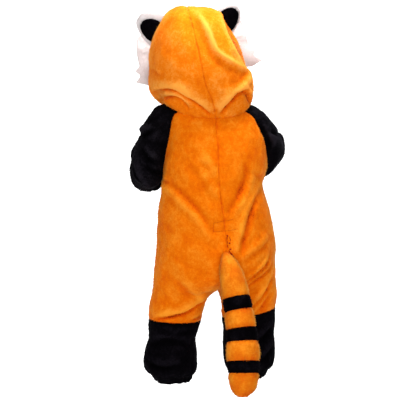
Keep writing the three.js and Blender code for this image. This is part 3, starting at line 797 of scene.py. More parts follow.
class Wardrobe:
    """Every finish of the garment, built once."""

    def __init__(self) -> None:
        """Builds the finishes."""
        orange = Plush(
            name="orange_nap",
            crease=(0.34, 0.03, 0.0),
            deep=(0.70, 0.085, 0.0),
            middle=(0.80, 0.163, 0.0),
            pale=(0.90, 0.30, 0.018),
            sheen_tint=(1.0, 0.62, 0.14),
            sheen=0.5,
        )
        # The hood's copy of the orange is paler: painted light, standing in for the stronger top light on the
        # hood.
        hood = replace(
            orange,
            name="hood_nap",
            deep=(0.74, 0.105, 0.0),
            middle=(0.86, 0.195, 0.002),
            pale=(0.95, 0.36, 0.05),
        )
        tail = replace(
            orange,
            name="tail_nap",
            deep=(0.68, 0.1, 0.002),
            middle=(0.76, 0.182, 0.004),
            pale=(0.88, 0.32, 0.02),
        )
        black = Plush(
            name="black_nap",
            crease=(0.0005, 0.0004, 0.0006),
            deep=(0.0008, 0.0006, 0.0010),
            middle=(0.0018, 0.0014, 0.0022),
            pale=(0.0070, 0.0058, 0.0085),
            sheen_tint=(0.60, 0.56, 0.68),
            sheen=0.02,
            gloss=0.004,
        )
        # The sleeves' copy of the black is paler, with more sheen: painted light for the top light on the
        # sleeves.
        sleeve = replace(
            black, name="sleeve_nap", middle=(0.0024, 0.002, 0.0028), pale=(0.013, 0.011, 0.015), sheen=0.04
        )
        white = Plush(
            name="white_nap",
            crease=(0.45, 0.36, 0.34),
            deep=(0.66, 0.59, 0.58),
            middle=(0.75, 0.68, 0.67),
            pale=(0.84, 0.78, 0.78),
            sheen_tint=(1.0, 0.98, 1.0),
            sheen=0.15,
        )
        orange_back = Backing("orange_backing", (0.86, 0.34, 0.07)).material()
        black_back = Backing("black_backing", (0.035, 0.033, 0.04)).material()
        self.orange = Cloth(orange.material(), orange_back, "orange_plush")
        self.hood_orange = Cloth(hood.material(), orange_back, "orange_plush")
        self.tail_orange = Cloth(tail.material(), orange_back, "orange_plush")
        self.black = Cloth(black.material(), black_back, "black_plush")
        self.sleeve_black = Cloth(sleeve.material(), black_back, "black_plush")
        self.white = Cloth(white.material(), black_back, "white_plush")
        self.orange_thread = Thread("orange_thread", (0.56, 0.06, 0.0)).material()
        self.brown_thread = Thread("brown_thread", (0.46, 0.014, 0.0)).material()
        self.black_thread = Thread("black_thread", (0.006, 0.006, 0.007)).material()
        self.resin = Resin("button_resin", (0.012, 0.006, 0.004), (0.05, 0.028, 0.016)).material()


# ---- Folds ----
def fold_rows(face: Face, *rows: tuple) -> tuple[Fold, ...]:
    """The folds of one face, from rows of a path and the folds' other sizes."""
    return tuple(Fold(face, *row) for row in rows)


BACK_FOLDS = fold_rows(
    Face.BACK,
    # The hood: overhangs above the neck seam, and ridges drawn down its right side.
    (
        ((-138, 55), (-122, 59), (-108, 61), (-90, 60), (-72, 53), (-53, 41), (-31, 26), (-5, 7)),
        13, 3, 8, 11,
    ),
    (((-124, 37), (-106, 44), (-90, 46), (-75, 42), (-64, 32), (-53, 17)), 7, 4, 6, 7),
    (((12, 8), (30, 28), (43, 42), (56, 53), (73, 59)), 14, 4, 8, 11),
    (((60, 60), (68, 54), (74, 47), (79, 27)), 8, 4.5, 5, 6),
    (((-52, 224), (-33, 189), (-22, 165), (-12, 141), (6, 123), (34, 106), (66, 89)), 3.5, 9, 10, 7),
    (((88, 104), (72, 118), (63, 133), (50, 154), (39, 181), (28, 206), (14, 236)), 18, 7, 7, 6, -0.6, 12),
    (((72, 103), (58, 82), (40, 62)), 4, 8, 6, 7),
    (((-140, 107), (-130, 100), (-119, 90)), 4, 4, 3, 6),
    # The back: drawn from the underarms to the seat.
    (
        ((4, -260), (-7, -240), (-27, -212), (-49, -186), (-71, -166), (-93, -148), (-118, -136)),
        4.5, 8, 5.5, 9,
    ),
    (((-124, -133), (-112, -139), (-100, -143)), 3, 3.2, 3, 6),
    (((-66, -52), (-38, -89), (-14, -119), (6, -155)), 1.6, 10, 2, 11),
    (((-84, -68), (-53, -109), (-25, -145), (2, -190)), 2, 10, 2.2, 11),
    (((69, -94), (69, -131), (60, -157), (47, -180), (26, -210)), 6, 8, 4.5, 8),
    (((58, -300), (62, -278), (69, -248), (78, -215), (89, -189), (104, -161), (116, -146)), 7, 7, 5, 8),
    (((80, -120), (98, -128), (118, -132)), 2.5, 6, 2, 7),
    # The seat, thighs and knees.
    (
        ((-136, -452), (-105, -443), (-85, -438), (-65, -433), (-49, -425), (-34, -415), (-10, -401)),
        14, 4, 8, 10,
    ),
    (((-50, -452), (-34, -445), (-20, -435)), 8, 3, 4, 6),
    (((-88, -356), (-58, -390), (-34, -416)), 4, 10, 4, 10),
    (((68, -360), (85, -348), (101, -336), (114, -322), (128, -300)), 10, 2.6, 5, 5),
    (((72, -369), (96, -354), (112, -343), (130, -324)), 9, 2.6, 4, 5),
    (((84, -422), (106, -396), (119, -375), (132, -346)), 9, 4, 6, 7),
    (((64, -318), (87, -299), (107, -285), (128, -266)), 4, 6, 4, 8),
    (((91, -439), (110, -413), (128, -386)), 6, 5, 4, 7),
    # The sleeves.
    (((-168, -41), (-157, -37), (-148, -34), (-133, -26)), 8, 4.5, 7, 8, -0.7),
    (((-162, -68), (-144, -91), (-125, -103)), 7, 5, 6, 8),
    (((-152, -107), (-131, -120), (-114, -117)), 6, 5, 5, 7),
    (((-186, -100), (-181, -113), (-169, -141), (-148, -166)), 6, 6, 6, 7, -0.3),
    (((102, -16), (112, -34), (120, -50), (125, -68)), 7, 4.5, 6, 6),
    (((150, -41), (138, -37), (126, -35), (113, -27)), 6, 5, 6, 8, -0.7),
    # The lower legs.
    (((-144, -511), (-105, -496), (-56, -505)), 6, 7, 5, 9),
    (((-154, -545), (-121, -556), (-70, -551)), 7, 6, 5, 9),
    (((-130, -469), (-87, -482), (-44, -474)), 4, 7, 4, 8),
    (((98, -500), (120, -481), (140, -462)), 6, 7, 5, 8),
    (((98, -547), (125, -524), (140, -510)), 6, 6, 5, 8),
)
# The back's folds are echoed on the front.
FRONT_FOLDS = fold_rows(
    Face.FRONT,
    (((-104, -150), (-92, -196), (-66, -236)), 4, 11, 5, 12),
    (((14, -232), (46, -186), (92, -150)), 4, 11, 5, 12),
    (((-128, -430), (-80, -406), (-34, -396)), 6, 8, 6, 10),
    (((34, -392), (82, -400), (128, -420)), 6, 8, 6, 10),
    (((-96, -330), (-62, -308), (-30, -300)), 5, 9, 4, 10),
    (((30, -318), (64, -326), (100, -346)), 5, 9, 4, 10),
    (((-136, -502), (-98, -514), (-62, -506)), 5, 8, 4, 9),
    (((40, -500), (80, -512), (116, -504)), 5, 8, 4, 9),
)
FOLDS = BACK_FOLDS + FRONT_FOLDS
# The stitched channel of the waist elastic, as lines of x and z on the back.
CHANNEL = (
    ((-1, -227), (16, -224), (30, -222), (44, -219)),
    ((-2, -246), (17, -245), (36, -243), (52, -240)),
    ((-1, -227), (-2, -236), (-2, -246)),
)
CHANNEL_MIDDLE = (28, -230)
CHANNEL_HALF = (50, 40)
CHANNEL_DEPTH = 1.3
CHANNEL_WIDTH = 1.9
FOLD_FADE = 0.4
FOLD_STOP = 30  # how far before `until` a fold starts to fade
FOLD_TAPER = 0.6
RIDGE_AT = 1.1  # the ridge's place beside the trough, in widths of trough and ridge together


def beside(points: Array, path: tuple) -> tuple[Array, Array]:
    """Where points lie along a smooth path, and how far to its left.

    Args:
        points: Rows of two coordinates.
        path: The path's own points.

    Returns:
        The share of the path's length, and the distance, positive on the left.
    """
    line = through(np.array(path, float), np.linspace(0, len(path) - 1, 8 * len(path)))
    steps = np.diff(line, axis=0)
    lengths = np.linalg.norm(steps, axis=1)
    away = points[:, None] - line[:-1]
    share = np.clip((away * steps).sum(axis=2) / lengths**2, 0, 1)
    gaps = np.linalg.norm(away - share[..., None] * steps, axis=2)
    nearest = gaps.argmin(axis=1)
    rows = np.arange(len(points))
    left = steps[nearest, 0] * away[rows, nearest, 1] - steps[nearest, 1] * away[rows, nearest, 0]
    walked_to = np.concatenate([[0], np.cumsum(lengths)])[nearest] + share[rows, nearest] * lengths[nearest]
    return walked_to / lengths.sum(), gaps[rows, nearest] * np.sign(left)


def fold_height(points: Array, normals: Array) -> Array:
    """How far the folds lift or sink each point of a surface.

    Args:
        points: Places in millimetres.
        normals: The outward normal at each.

    Returns:
        The height of the folds along the normals.
    """
    height = np.zeros(points.shape[:-1])
    for fold in FOLDS:
        ends = np.array(fold.path, float)
        margin = 3 * (fold.width + fold.roll)
        near = (points[..., 0] > ends[:, 0].min() - margin) & (points[..., 0] < ends[:, 0].max() + margin)
        near &= (points[..., 2] > ends[:, 1].min() - margin) & (points[..., 2] < ends[:, 1].max() + margin)
        facing = smooth(fold.reach, fold.reach + FOLD_FADE, fold.face.value * normals[..., 1])
        facing = facing * (1 - smooth(fold.until - FOLD_STOP, fold.until, -fold.face.value * points[..., 1]))
        near &= facing > 0
        if not near.any():
            continue
        share, left = beside(points[near][:, [0, 2]], fold.path)
        taper = np.sin(np.pi * np.clip(share, 0, 1)) ** FOLD_TAPER
        trough = fold.depth * bell(left / fold.width)
        ridge_at = RIDGE_AT * (fold.width + fold.roll) / 2 + fold.width / 2
        ridge = fold.rise * bell((left - ridge_at) / fold.roll)
        height[near] += facing[near] * taper * (ridge - trough)
    near = normals[..., 1] < 0
    for axis, middle, half in zip((0, 2), CHANNEL_MIDDLE, CHANNEL_HALF):
        near &= np.abs(points[..., axis] - middle) < half
    if near.any():
        for line in CHANNEL:
            _, left = beside(points[near][:, [0, 2]], line)
            height[near] -= CHANNEL_DEPTH * bell(left / CHANNEL_WIDTH)
    return height


# ---- Pile ----
@dataclass(frozen=True)
class Pile:
    """Tufts of pile that stand out of the cloth and soften its outline."""

    count: int
    length: float = 3.0
    width: float = 1.3
    lean: float = 0.62
    spread: float = 0.35

    def grow(
        self, name: str, grid: Array, normals: Array, lift: Array, material: Material, seed: int
    ) -> Piece:
        """Makes the tufts of one piece as a joined mesh of three-sided points.

        Args:
            name: The new object's name.
            grid: The outside of the cloth, rows and columns of points.
            normals: Its outward normals.
            lift: The value that the finish reads at each point.
            material: The pile's finish, the same as the cloth's.
            seed: Which scatter of tufts.

        Returns:
            The object.
        """
        draw = np.random.default_rng(seed)
        a, b, c = grid[:-1, :-1], grid[:-1, 1:], grid[1:, :-1]
        areas = np.linalg.norm(np.cross(b - a, c - a), axis=-1).ravel()
        cells = draw.choice(len(areas), self.count, p=areas / areas.sum())
        i, j = np.divmod(cells, grid.shape[1] - 1)
        s, t = draw.random((2, self.count, 1))
        foot = mix(mix(grid[i, j], grid[i, j + 1], t), mix(grid[i + 1, j], grid[i + 1, j + 1], t), s)
        here, there = (mix(normals[k, j], normals[k, j + 1], t) for k in (i, i + 1))
        up = unit(mix(here, there, s))
        nap = unit(grid[i + 1, j] - grid[i, j] - np.array([0, 0, 0.5]))
        way = unit(up * (1 - self.lean) + nap * self.lean + self.spread * draw.normal(size=up.shape))
        way = unit(way + up * np.maximum(0, 0.25 - (way * up).sum(axis=1, keepdims=True)))
        first = unit(np.cross(way, nap + 0.01))
        second = np.cross(way, first)
        length = self.length * draw.uniform(0.6, 1.25, (self.count, 1))
        corners = [
            foot - up * 0.4 + self.width / 2 * (math.cos(turn) * first + math.sin(turn) * second)
            for turn in (0, 2 * math.pi / 3, 4 * math.pi / 3)
        ]
        tips = foot + way * length
        points = np.stack([*corners, tips], axis=1).reshape(-1, 3)
        start = np.arange(self.count)[:, None] * 4
        faces = np.concatenate([start + np.array([k, (k + 1) % 3, 3]) for k in range(3)])
        # Tuft roots painted darker as the shade deep in the pile, tips paler as painted highlight.
        value = np.repeat(lift[i, j], 4) + np.tile([-0.25, -0.25, -0.25, 0.35], self.count)
        tufts = make_object(name, points, faces, [material], lift=value)
        shade = unit(np.stack([up, up, up, unit(up + 0.4 * way)], axis=1).reshape(-1, 3))
        tufts.data.normals_split_custom_set_from_vertices(shade.tolist())
        put_on(tufts)
        return tufts


# ---- Stitching ----
@dataclass(frozen=True)
class Stitching:
    """A line of thread: small rounded stitches that sink at their ends."""

    pitch: float = 3.6
    share: float = 0.78
    radius: float = 0.38
    sides: int = 6

    def stitch(self, start: Array, end: Array, normal: Array) -> tuple[Array, Array]:
        """One stitch as points and quads.

        Args:
            start: Where the thread comes up.
            end: Where it goes down.
            normal: Out of the cloth.

        Returns:
            The points and the quads, numbered from 0.
        """
        along = unit(end - start)
        side = unit(np.cross(along, normal))
        up = np.cross(side, along)
        rings = []
        for share in (0.0, 0.2, 0.5, 0.8, 1.0):
            bow = math.sin(math.pi * share)
            centre = mix(start, end, share) + up * (bow * 1.1 - 0.3) * self.radius
            thick = self.radius * (0.45 + 0.55 * bow)
            turns = np.arange(self.sides) * 2 * math.pi / self.sides
            rings.append(centre + thick * (np.cos(turns)[:, None] * side + np.sin(turns)[:, None] * up))
        return np.concatenate(rings), grid_faces(len(rings), self.sides, True)

    def run(self, path: Array, normals: Array) -> list[tuple[Array, Array]]:
        """Stitches along a path on the cloth.

        Args:
            path: Points on the cloth, in order.
            normals: The outward normal at each.

        Returns:
            Each stitch's points and quads.
        """
        far = walked(path[None], 1)[0]
        starts = np.arange(0, far[-1] - self.pitch * self.share, self.pitch)
        made = []
        for start in starts:
            ends = np.array([start, start + self.pitch * self.share])
            made.append(self.stitch(*read_off(ends, far, path), unit(read_off(start, far, normals))))
        return made


def join_pieces(name: str, parts: list, material: Material) -> Piece:
    """Joins many small meshes into one object.

    Args:
        name: The object's name.
        parts: Points and quads of each, numbered from 0.
        material: Their finish.

    Returns:
        The object.
    """
    points, faces, start = [], [], 0
    for part_points, part_faces in parts:
        points.append(part_points)
        faces.append(part_faces + start)
        start += len(part_points)
    piece = make_object(name, np.concatenate(points), np.concatenate(faces), [material])
    put_on(piece)
    return piece


# ---- Sewn panels ----
@dataclass(frozen=True)
class Cut:
    """The flat piece that a maker cuts: width, length and area in metres, seam allowance apart."""

    width: float
    length: float
    area: float
    held: str = "draped"
    rests_on: tuple[str, ...] = ()

    def declare(self, piece: Piece, going: list[Piece]) -> None:
        """Reads the names of the pieces that this one rests on; it declares nothing, and the piece and those
        that go with it are not used.
        """
        list(self.rests_on)


class Hem(NamedTuple):
    """A stitched hem: its thread's name, how far above the edge it runs, and its finish."""

    name: str
    height: float
    thread: Material


@dataclass
class Panel:
    """A sewn piece of cloth as a grid of points on its outside."""

    node: str
    form: Array
    cut: Cut
    sewn: tuple[Edge, ...] = ()
    hemmed: tuple[Edge, ...] = ()
    level: tuple[int, ...] = ()
    wraps: bool = False
    extra: Array | None = None
    seam_depth: float = 1.5
    seam_width: float = 1.9
    seam_hollow: float = 1.0
    hollow_width: float = 8.0
    pucker: float = 0.7
    pucker_reach: float = 9.0
    pucker_size: float = 15.0
    hollows: tuple[tuple[float, float, int], ...] = ((1.1, 62, 1), (0.45, 24, 2))  # height, size, seed
    end_fade: float = 12.0
    soft_fade: float = 14.0
    hem_width: float = 15.0
    hem_extra: float = 1.6
    edge_round: float = 1.4
    edge_sink: float = 1.5
    edge_thin: float = 2.4
    # How fold, hollow and seam heights become painted shade and highlight in the lift value.
    full_lift: float = 8.0
    soft_show: float = 0.6
    seam_show: float = 0.2
    normals: Array = field(init=False)
    outer: Array = field(init=False)
    lift: Array = field(init=False)

    def __post_init__(self) -> None:
        """Presses folds, seams and softness into the form."""
        self.normals = grid_normals(self.form, self.wraps)
        for row in self.level:
            self.normals[row, :, 2] = 0
        self.normals = unit(self.normals)
        nearest = np.full(self.form.shape[:2], 1e9)
        for edge in self.sewn:
            nearest = np.minimum(nearest, self.distance(edge))
        away_from_ends = np.ones(self.form.shape[:2])
        for edge in (Edge.FIRST_ROW, Edge.LAST_ROW):
            away_from_ends *= smooth(0, self.end_fade, self.distance(edge))
        folds = fold_height(self.form, self.normals) * away_from_ends
        seam = -self.seam_depth * bell(nearest / self.seam_width)
        seam -= self.seam_hollow * bell(nearest / self.hollow_width)
        seam += self.pucker * np.exp(-nearest / self.pucker_reach) * ripple(self.form, self.pucker_size, 5)
        soft = sum(height * ripple(self.form, size, seed) for height, size, seed in self.hollows)
        soft *= smooth(0, self.soft_fade, nearest)
        height = folds + seam + soft
        if self.extra is not None:
            height = height + self.extra
        for edge in self.hemmed:
            height = height - self.edge_sink * bell(self.distance(edge) / self.edge_round)
        # Painted shade and highlight: troughs, hollows and seams are painted darker, ridges paler.
        painted_shade = (folds + self.soft_show * soft) / self.full_lift + self.seam_show * seam / self.seam_depth
        self.lift = np.clip(painted_shade, -1, 1)
        self.outer = self.form + self.normals * height[..., None]

    def distance(self, edge: Edge) -> Array:
        """Measures how far every grid point is from an edge.

        Args:
            edge: The edge.

        Returns:
            The distances along the cloth.
        """
        if edge in (Edge.FIRST_COLUMN, Edge.LAST_COLUMN):
            far = walked(self.form, 1)
            return far if edge is Edge.FIRST_COLUMN else far[:, -1:] - far
        far = walked(self.form, 0)
        return far if edge is Edge.FIRST_ROW else far[-1:] - far

    def ease(self, edge: Edge, shift: Array, rows: Array | None = None, reach: float = 16.0) -> None:
        """Moves an edge, and the cloth beside it less and less.

        Args:
            edge: Which edge moves.
            shift: How far each of its points moves.
            rows: The rows that move, where the edge is a column and only part of it moves.
            reach: How far into the panel the move goes.
        """
        weight = (1 - smooth(0, reach, self.distance(edge)))[..., None]
        if edge in (Edge.FIRST_ROW, Edge.LAST_ROW):
            self.outer += shift[None] * weight
        else:
            rows = np.arange(len(self.outer)) if rows is None else rows
            self.outer[rows] += shift[:, None] * weight[rows]

    def column(self, edge: Edge) -> Array:
        """The points along the first or last column."""
        return self.outer[:, 0 if edge is Edge.FIRST_COLUMN else -1]

    def inner(self) -> Array:
        """Works out the inside of the wall, thicker along a turned hem.

        Returns:
            Its grid of points.
        """
        normals = grid_normals(self.outer, self.wraps)
        if (normals * self.normals).sum() < 0:
            normals = -normals
        for row in self.level:
            normals[row] = self.normals[row]
        thick = np.full(self.form.shape[:2], CLOTH)
        for edge in self.hemmed:
            far = self.distance(edge)
            thick += self.hem_extra * (1 - smooth(self.hem_width - 2, self.hem_width + 2, far))
            thick -= self.edge_thin * bell(far / self.edge_round)
        return self.outer - normals * thick[..., None]

    def build(self, cloth: Cloth, pile: Pile, seed: int, hem: Hem | None = None) -> None:
        """Makes the panel's wall, its pile and its hem's stitches.

        Args:
            cloth: What it is cut from.
            pile: The tufts on it.
            seed: Which scatter of tufts.
            hem: The hem round its last row, if it has one.
        """
        name, materials = self.node + "_plush", [cloth.plush, cloth.back]
        piece = make_wall(name, self.outer, self.inner(), self.wraps, materials, self.lift)
        put_on(piece, cloth.slot, self.node)
        going = [pile.grow(self.node + "_pile", self.outer, self.normals, self.lift, cloth.plush, seed)]
        if hem:
            going.append(self.stitch(hem))
        self.cut.declare(piece, going)

    def stitch(self, hem: Hem) -> Piece:
        """Stitches a turned hem round the last row.

        Args:
            hem: The hem.

        Returns:
            The joined stitches.
        """
        far = self.distance(Edge.LAST_ROW)
        path, normals = [], []
        for j in range(self.outer.shape[1]):
            row = float(np.interp(-hem.height, -far[:, j], np.arange(len(far))))
            point, normal = self.place(row, min(j, self.outer.shape[1] - 2))
            path.append(point + normal * 0.3)
            normals.append(normal)
        parts = Stitching().run(np.array(path), np.array(normals))
        return join_pieces(f"{self.node}_{hem.name}_thread", parts, hem.thread)

    def place(self, row: float, column: int) -> tuple[Array, Array]:
        """Finds a place between two rows.

        Args:
            row: The row, which may be a fraction.
            column: The column.

        Returns:
            The point and the outward normal.
        """
        i = min(int(row), len(self.outer) - 2)
        point = mix(self.outer[i, column], self.outer[i + 1, column], row - i)
        return point, unit(mix(self.normals[i, column], self.normals[i + 1, column], row - i))


def sew(a: Panel, edge_a: Edge, b: Panel, edge_b: Edge, rows: Array | None = None) -> None:
    """Brings two long edges together, each half way.

    Args:
        a: One panel.
        edge_a: Its edge.
        b: The other panel, with its rows at the same places.
        edge_b: Its edge.
        rows: The rows that are sewn, if not all.
    """
    rows = np.arange(len(a.outer)) if rows is None else rows
    middle = (a.column(edge_a)[rows] + b.column(edge_b)[rows]) / 2
    for panel, edge in ((a, edge_a), (b, edge_b)):
        panel.ease(edge, middle - panel.column(edge)[rows], rows)


# ---- Trunk and thighs ----
@dataclass
class Trunk:
    """Two backs and two fronts, from the neck to the knee seams."""

    rings: tuple[TrunkRing, ...] = table_of(
        TrunkRing,
        (0, 98, 98, 68, 64, -18, 11, 47, 1),
        (-16, 99, 106, 80, 76, -11, 7, 59, 0.85),
        (-34, 104, 111, 88, 85, -6, 5, 64, 0.65),
        (-54, 108, 115, 94, 91, -2, 4, 68, 0.45),
        (-75, 112, 118, 98, 95, 0, 3.5, 72, 0.28),
        (-96, 114, 119, 102, 94, 0, 3.5, 77, 0.15),
        (-116, 115, 117, 104, 93, 0, 4, 84, 0.05),
        (-133, 116, 112, 106, 94, 0, 4.5, 90, 0),
        (-150, 118, 108, 107, 97, 0, 5, 90, 0),
        (-170, 119, 113, 109, 101, 0, 6, 90, 0),
        (-194, 122, 121, 111, 107, 0, 7, 90, 0),
        (-218, 126, 126, 112, 109, 0, 8.5, 90, 0),
        (-243, 127, 131, 114, 110, 0, 9, 90, 0),
        (-268, 128, 136, 117, 110, 0, 10, 90, 0),
        (-294, 129, 138, 120, 108, 0, 10.5, 90, 0),
        (-318, 131, 138, 120, 105, 0, 8, 90, 0),
        (-338, 134, 138, 117, 101, 0, 5, 90, 0),
    )
    seat_turns: tuple[float, ...] = (22.5, 45, 67.5)
    thighs: dict = field(
        default_factory=lambda: {
            Side.LEFT: table_of(
                LegRing,
                (-387, -402, -67, 75, 76, 72), (-408, -420, -80, 66, 73, 69),
                (-433, -438, -86, 62, 70, 66), (-457, -453, -88, 60, 67, 63),
            ),
            Side.RIGHT: table_of(
                LegRing,
                (-387, -394, 75, 67, 76, 72), (-406, -403, 78, 64, 73, 69),
                (-427, -414, 79, 62, 70, 66), (-450, -428, 78, 61, 67, 63),
            ),
        }
    )
    underarm: int = 7
    neck_lift_back: float = 30
    neck_lift_front: float = 41
    neck_front_drop: float = -11
    neck_sharpness: float = 2.5
    crown_rows: int = 44
    lower_rows: int = 104
    columns: dict = field(default_factory=lambda: {Face.BACK: 78, Face.FRONT: 46})
    pile: dict = field(default_factory=lambda: {Face.BACK: Pile(12000), Face.FRONT: Pile(8000)})
    panels: dict = field(default_factory=dict)

    @property
    def row_places(self) -> Array:
        """Where the fine rows lie, closer near the neck and the knees.

        Returns:
            Their places, counted in rings.
        """
        crown = self.underarm * np.linspace(0, 1, self.crown_rows) ** 1.3
        rings = self.crotch + len(self.thighs[Side.LEFT]) - 1
        return np.concatenate([crown, mix(self.underarm, rings, eased(self.lower_rows, 1.2)[1:])])

    @property
    def crotch(self) -> int:
        """The ring where the legs part."""
        return len(self.rings) + len(self.seat_turns)

    def neck_lift(self, angle: Array) -> Array:
        """The neck's lift at an angle from the nape (0) to the throat (180)."""
        shoulder = np.abs(np.sin(np.radians(angle))) ** self.neck_sharpness
        return np.where(
            angle <= 90,
            self.neck_lift_back * shoulder,
            self.neck_front_drop + self.neck_lift_front * shoulder,
        )

    def ring_point(self, ring: TrunkRing, side: Side, angle: Array) -> Array:
        """Finds points of a trunk ring.

        Args:
            ring: The ring.
            side: The side round which the angles run.
            angle: Angles from the nape (0) to the throat (180).

        Returns:
            A point for each angle.
        """
        turned = np.radians(side.value * angle + ring.turn)
        across, along = rounded(np.sin(turned)), -rounded(np.cos(turned))
        x = ring.shift + across * np.where(across < 0, ring.left, ring.right)
        y = along * np.where(along < 0, ring.back, ring.front)
        return stack(x, y, ring.z + ring.rise * self.neck_lift(angle))

    def leg_point(self, ring: LegRing, face: Face, side: Side, u: Array) -> Array:
        """Finds points of a leg ring.

        Args:
            ring: The ring.
            face: Back or front.
            side: Which leg.
            u: Shares from the inseam (0) to the side seam (1).

        Returns:
            A point for each share.
        """
        across, deep = -rounded(np.cos(u * np.pi)), ring.back if face is Face.BACK else ring.front
        x = ring.x + side.value * ring.half * across
        y = face.value * deep * rounded(np.sin(u * np.pi))
        return stack(x, y, mix(ring.inner, ring.outer, (1 + across) / 2))

    def form(self, face: Face, side: Side) -> Array:
        """The smooth form of one panel.

        Args:
            face: Back or front.
            side: Left or right.

        Returns:
            Its grid, from neck to knee and from the centre seam outward.
        """
        u = crowded(self.columns[face])

        def ring_row(ring: TrunkRing) -> Array:
            """One ring's points over the panel."""
            angle = u * ring.raglan if face is Face.BACK else 180 - u * ring.raglan
            return self.ring_point(ring, side, angle)

        rows = [ring_row(ring) for ring in self.rings]
        hip, top = self.rings[-1], self.thighs[side][0]
        for turn in self.seat_turns:
            share = 1 - math.cos(math.radians(turn))
            point = mix(ring_row(hip), self.leg_point(top, face, side, u), share)
            inner = mix(hip.z, top.inner, math.sin(math.radians(turn)))
            point[:, 2] = mix(inner, mix(hip.z, top.outer, turn / 90), (1 - np.cos(u * np.pi)) / 2)
            rows.append(point)
        rows += [self.leg_point(ring, face, side, u) for ring in self.thighs[side]]
        return through(np.array(rows), self.row_places)

    def cut_panels(self) -> None:
        """Lays out the four panels and sews them to each other."""
        cuts = {Face.BACK: Cut(0.215, 0.5, 0.088), Face.FRONT: Cut(0.205, 0.49, 0.08)}
        edges = (Edge.FIRST_COLUMN, Edge.LAST_COLUMN, Edge.FIRST_ROW, Edge.LAST_ROW)
        for face in Face:
            for side in Side:
                node = f"{face.word}_{side.word}"
                form = self.form(face, side)
                fill = neck_fill(form, walked(form, 0))
                panel = Panel(node, form, cuts[face], sewn=edges, level=(0, -1), extra=fill)
                self.panels[face, side] = panel
        at = self.row_places
        parts = (at <= self.crotch, at > self.crotch, at >= self.underarm)
        centre, inseam, outseam = (np.flatnonzero(part) for part in parts)
        first, last = Edge.FIRST_COLUMN, Edge.LAST_COLUMN
        for face in Face:
            sew(self.panels[face, Side.LEFT], first, self.panels[face, Side.RIGHT], first, centre)
        for side in Side:
            back, front = self.panels[Face.BACK, side], self.panels[Face.FRONT, side]
            sew(back, first, front, first, inseam)
            sew(back, last, front, last, outseam)

    def neck_curve(self, side: Side, sleeve: Panel) -> tuple[Array, Array]:
        """Follows one side's neck seam from the nape to the throat.

        Args:
            side: The side.
            sleeve: Its sleeve.

        Returns:
            Angles from the nape, and the points there.
        """
        raglan = self.rings[0].raglan
        back, front = (crowded(self.columns[face]) for face in Face)
        v = np.linspace(0, 1, sleeve.outer.shape[1])
        angles = [back * raglan, mix(raglan, 180 - raglan, v)[1:], 180 - front[::-1][1:] * raglan]
        body = {face: self.panels[face, side].outer[0] for face in Face}
        rows = [body[Face.BACK], sleeve.outer[0, 1:], body[Face.FRONT][::-1][1:]]
        return np.concatenate(angles), np.concatenate(rows)

    def build(self, finishes: Wardrobe) -> None:
        """Makes the four panels."""
        for number, ((face, _), panel) in enumerate(self.panels.items()):
            panel.build(finishes.orange, self.pile[face], 20 + number)


def neck_fill(form: Array, from_neck: Array) -> Array:
    """How far the nape's seam is filled out by what it is sewn to."""
    behind = smooth(0.1, 0.75, -form[..., 1] / NAPE)
    return NECK_FILL * behind * bell(from_neck / NECK_REACH)


